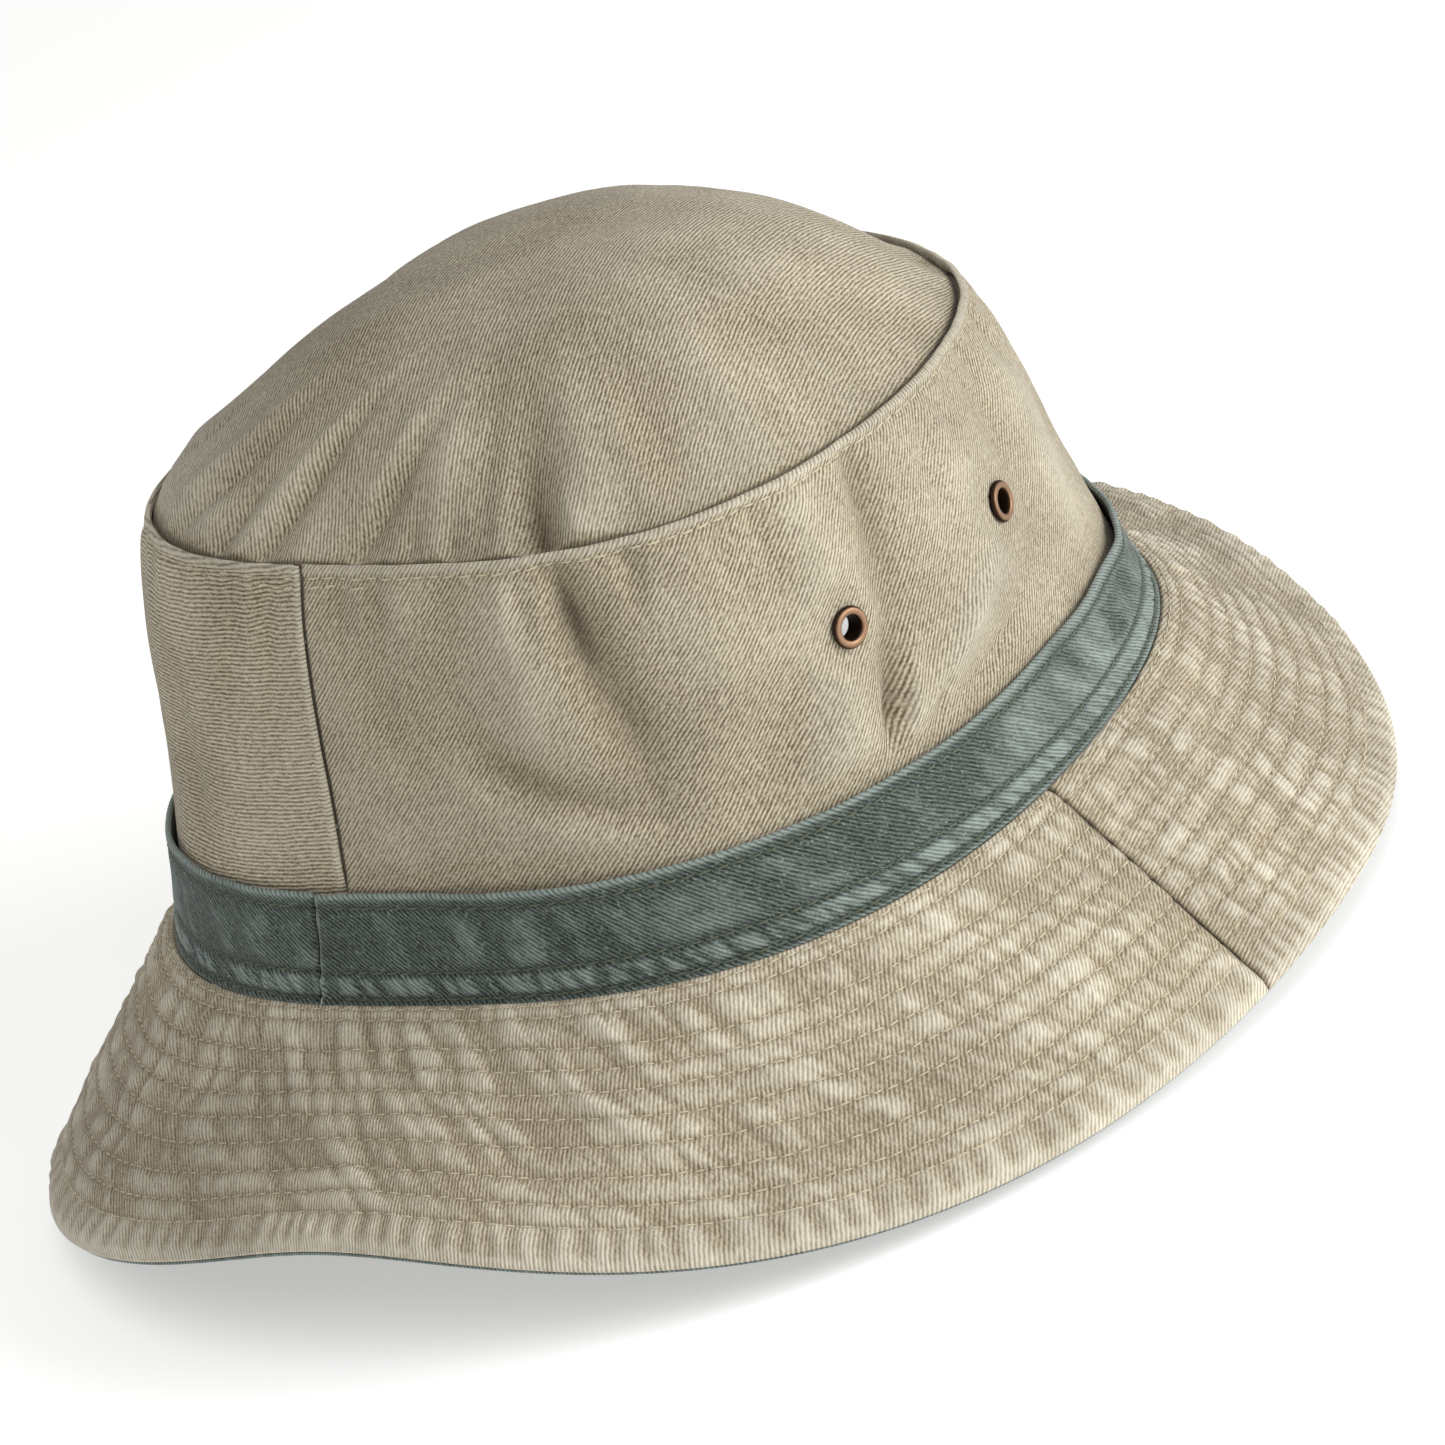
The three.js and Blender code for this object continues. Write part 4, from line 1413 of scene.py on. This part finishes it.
def sew_rows(name, rows, settings, look, seed):
    """Every stitch is a short thread with pointed ends that dive into the cloth.

    Its cross section is a pentagon, and its thickness and its height follow a half ellipse.
    """
    here, run, side, facing = (np.concatenate(parts) for parts in zip(*rows))
    rng = np.random.default_rng(seed)
    count = len(here)
    sides = 5
    along = np.array((-1.0, -0.72, -0.25, 0.25, 0.72, 1.0))
    swell = np.sqrt(1 - along**2 * 0.97) * settings.thread / 2
    lift = (1 - along**2) * settings.thread * 0.42 - settings.thread * 0.12
    turns = np.arange(sides) * FULL_TURN / sides
    x = np.repeat(along, sides) * settings.visible / 2
    y = np.outer(swell, np.cos(turns)).ravel() * 1.15
    z = np.outer(swell, np.sin(turns)).ravel() + np.repeat(lift, sides)
    slant = rng.normal(0.09, 0.06, (count, 1))
    stretch = rng.uniform(0.9, 1.06, (count, 1))
    long = x * stretch * np.cos(slant) - y * np.sin(slant)
    wide = x * stretch * np.sin(slant) + y * np.cos(slant)
    points = (
        here[:, None]
        + long[..., None] * run[:, None]
        + wide[..., None] * side[:, None]
        + np.broadcast_to(z, long.shape)[..., None] * facing[:, None]
    )
    tube = grid_quads(len(along), sides, True)
    first, last = np.arange(sides), np.arange(sides) + (len(along) - 1) * sides
    # Each end is closed by a square and a triangle, whose last corner is given twice.
    caps = [(first[0], first[4], first[3], first[2]), (first[0], first[2], first[1], first[1])]
    caps += [(last[0], last[1], last[2], last[3]), (last[0], last[3], last[4], last[4])]
    quads = np.concatenate([tube, np.array(caps)])
    offsets = np.arange(count)[:, None, None] * len(x)
    faces = (quads[None] + offsets).reshape(-1, 4)
    attach(new_piece(name, points.reshape(-1, 3), faces), "binding_tape", look)


class HAT_OT_stitching(bpy.types.Operator):
    """Sew the rows of topstitching on the crown, the band and the brim"""

    bl_idname = "hat.stitching"
    bl_label = "Topstitching"

    def execute(self, context):
        surface = HatSurface(context)
        colours = context.scene.hat_colours
        pale = material("khaki_thread", sewing_thread, colours.thread)
        olive = material("olive_thread", sewing_thread, colours.band_thread)
        settings = surface.stitches
        self.crown(surface, settings, pale)
        self.band(surface, settings, olive)
        for (layer, sign, seed), look in zip(BRIM_LAYERS, (pale, olive)):
            self.brim(surface, settings, layer, sign, seed, look)
        return {"FINISHED"}

    def row(self, path, start, end, settings):
        """Stitches between two directions, which run as the row does a fifth of a pitch around."""
        places = stitch_places(path, start, end, settings.pitch)
        reach = 90 * MM
        return stitch_row(path, places, 0.2 * settings.pitch / reach)

    def crown(self, surface, settings, look):
        """The row below the tip seam, and a second row where its ends overlap at the back."""
        height = surface.shape.wall_height - settings.tip_row

        def path(turn, lift):
            relief = surface.wall_relief(turn, np.full(turn.shape, height)) - 0.2 * MM
            return surface.wall(turn, height, relief + lift)

        def overlap_path(turn, lift):
            low = height - 1.3 * MM * np.cos(3 * (turn - BACK)) - 0.3 * MM
            relief = surface.wall_relief(turn, low) - 0.1 * MM
            return surface.wall(turn, low, relief + lift)

        margin = 1.5 * MM / surface.radius
        rows = [
            self.row(path, BACK + margin, BACK + FULL_TURN - margin, settings),
            self.row(overlap_path, BACK + margin, BACK + 0.2, settings),
            self.row(overlap_path, BACK - 0.32, BACK - margin, settings),
        ]
        sew_rows("stitching_tip_seam", rows, settings, look, seed=61)

    def band(self, surface, settings, look):
        """Three rows around the band, on its puckered face."""
        cloth = surface.cloth
        foot = cloth.gap
        heights = (
            foot + settings.band_low_row,
            foot + settings.band_middle_row,
            cloth.band_width - settings.band_top_row,
        )
        rows = []
        for height in heights:

            def path(turn, lift, height=height):
                relief = band_relief(surface, turn, np.full(turn.shape, height))[0]
                return surface.wall(turn, height, cloth.gap + cloth.band_cloth + relief + lift)

            margin = 5 * MM / surface.radius
            ends = (cloth.band_join + margin, cloth.band_join + FULL_TURN - margin)
            rows.append(self.row(path, *ends, settings))
        sew_rows("stitching_band", rows, settings, look, seed=62)

    def brim(self, surface, settings, layer, sign, seed, look):
        """Every row of one side of the brim, stopping just short of the side seams."""
        margin = 0.004
        top = surface.cloth.interlining / 2 + surface.cloth.gap + surface.cloth.brim_cloth
        rows = []
        for number in range(1, len(settings.brim_rows) + 1):
            for _, start, end, _ in BRIM_HALVES:

                def path(turn, lift, number=number):
                    row = np.full(turn.shape, number)
                    distance = surface.brim_distance(turn, row, 0.0)
                    relief = surface.brim_relief(turn, row, np.zeros(turn.shape), seed)[0]
                    return surface.brim(turn, distance, sign * (top + relief + lift))

                rows.append(self.row(path, start + margin, end - margin, settings))
        sew_rows(f"stitching_{layer}", rows, settings, look, seed)


def pale_floor(name, tint):
    """Matt paper: nearly white, with the faintest clouds."""
    bench = Bench(name)
    clouds = bench.waves(bench.own_place(), 3.0, 3.0)
    colour = bench.shaded(rgba(tint), clouds * 0.02 + 0.99)
    settings = {"Specular IOR Level": 0.1, "Emission Color": rgba(tint), "Emission Strength": 0.45}
    return bench.surface(colour, 0.95 - clouds * 0.05, settings)


class HAT_OT_stage(bpy.types.Operator):
    """Set the floor, the soft lights and the camera"""

    bl_idname = "hat.stage"
    bl_label = "Stage"

    def execute(self, context):
        surface = HatSurface(context)
        stage = context.scene.hat_stage
        self.floor(context)
        axes = self.camera_axes(stage)
        self.camera(context, stage, axes, surface.origin)
        middle = surface.origin + np.array((0, 0, 30 * MM))
        right, up, back = axes
        key = middle + 1.4 * right + 0.68 * up + 0.75 * back
        fill = middle - 0.6 * right + 0.9 * up + 1.5 * back
        self.light(context, "key_light", key, middle, stage.key_power, width=1.4)
        self.light(context, "fill_light", fill, middle, stage.fill_power, width=1.8)
        world = context.scene.world or bpy.data.worlds.new("studio")
        context.scene.world = world
        world.use_nodes = True
        sky = world.node_tree.nodes["Background"]
        sky.inputs["Color"].default_value = (1.0, 1.0, 1.0, 1.0)
        sky.inputs["Strength"].default_value = stage.sky
        context.scene.view_settings.view_transform = "Standard"
        return {"FINISHED"}

    def floor(self, context):
        """A flat disc, wide enough to fill the view behind the hat."""
        reach, steps = context.scene.hat_stage.floor_reach, 64
        turns = np.linspace(0, FULL_TURN, steps, endpoint=False)
        rim = np.stack([reach * np.cos(turns), reach * np.sin(turns), np.zeros(steps)], -1)
        mesh = bpy.data.meshes.new("floor")
        mesh.from_pydata(rim.tolist(), [], [list(range(steps))])
        mesh.materials.append(pale_floor("floor_paper", context.scene.hat_colours.floor))
        floor = bpy.data.objects.new("floor", mesh)
        context.scene.collection.objects.link(floor)

    def camera_axes(self, stage):
        """Right, up and back of the camera: a point on a sphere, then a roll about its axis."""
        a, e, r = stage.azimuth, stage.elevation, stage.roll
        back = np.array((np.sin(a) * np.cos(e), -np.cos(a) * np.cos(e), np.sin(e)))
        level = np.array((np.cos(a), np.sin(a), 0))
        upright = np.cross(back, level)
        right = np.cos(r) * level + np.sin(r) * upright
        up = np.cos(r) * upright - np.sin(r) * level
        return right, up, back

    def camera(self, context, stage, axes, origin):
        """A long lens that looks along its back axis at the brim seam, a little aside."""
        right, up, back = axes
        data = bpy.data.cameras.new("camera")
        data.lens = stage.lens
        data.sensor_width = 36
        data.clip_start = 0.05
        camera = bpy.data.objects.new("camera", data)
        turn = Matrix((right, up, back)).transposed().to_4x4()
        place = origin + stage.aim_right * right + stage.aim_up * up + stage.distance * back
        camera.matrix_world = Matrix.Translation(place) @ turn
        context.scene.collection.objects.link(camera)
        context.scene.camera = camera

    def light(self, context, name, place, target, power, width):
        """A round soft light that faces the hat."""
        data = bpy.data.lights.new(name, "AREA")
        data.energy = power
        data.shape = "DISK"
        data.size = width
        light = bpy.data.objects.new(name, data)
        light.location = place
        light.rotation_euler = Vector(target - place).to_track_quat("-Z", "Y").to_euler()
        context.scene.collection.objects.link(light)


OPERATORS = (
    HAT_OT_stage,
    HAT_OT_crown_tip,
    HAT_OT_side_panels,
    HAT_OT_linings,
    HAT_OT_band,
    HAT_OT_brim,
    HAT_OT_eyelets,
    HAT_OT_stitching,
)


class HAT_PT_parts(bpy.types.Panel):
    """Lists the pieces of the hat in the order they are made"""

    bl_idname = "HAT_PT_parts"
    bl_label = "Bucket Hat"
    bl_space_type = "VIEW_3D"
    bl_region_type = "UI"
    bl_category = "Hat"

    def draw(self, context):
        for operator in OPERATORS:
            self.layout.operator(operator.bl_idname)


SETTINGS = {
    "hat_shape": HatShape,
    "hat_cloth": HatCloth,
    "hat_eyelets": HatEyelets,
    "hat_stitches": HatStitches,
    "hat_colours": HatColours,
    "hat_stage": HatStage,
}


def register():
    for group in (*SETTINGS.values(), *OPERATORS, HAT_PT_parts):
        bpy.utils.register_class(group)
    for name, group in SETTINGS.items():
        setattr(bpy.types.Scene, name, PointerProperty(type=group))


def unregister():
    for name in SETTINGS:
        delattr(bpy.types.Scene, name)
    for group in reversed((*SETTINGS.values(), *OPERATORS, HAT_PT_parts)):
        bpy.utils.unregister_class(group)


def corners(box):
    return [[float(value) for value in corner] for corner in box]


def main():
    register()
    bpy.ops.hat.stage()
    bpy.ops.hat.crown_tip()
    bpy.ops.hat.side_panels()
    bpy.ops.hat.linings()
    bpy.ops.hat.band()
    bpy.ops.hat.brim()
    bpy.ops.hat.eyelets()
    bpy.ops.hat.stitching()


if __name__ == "__main__":
    main()
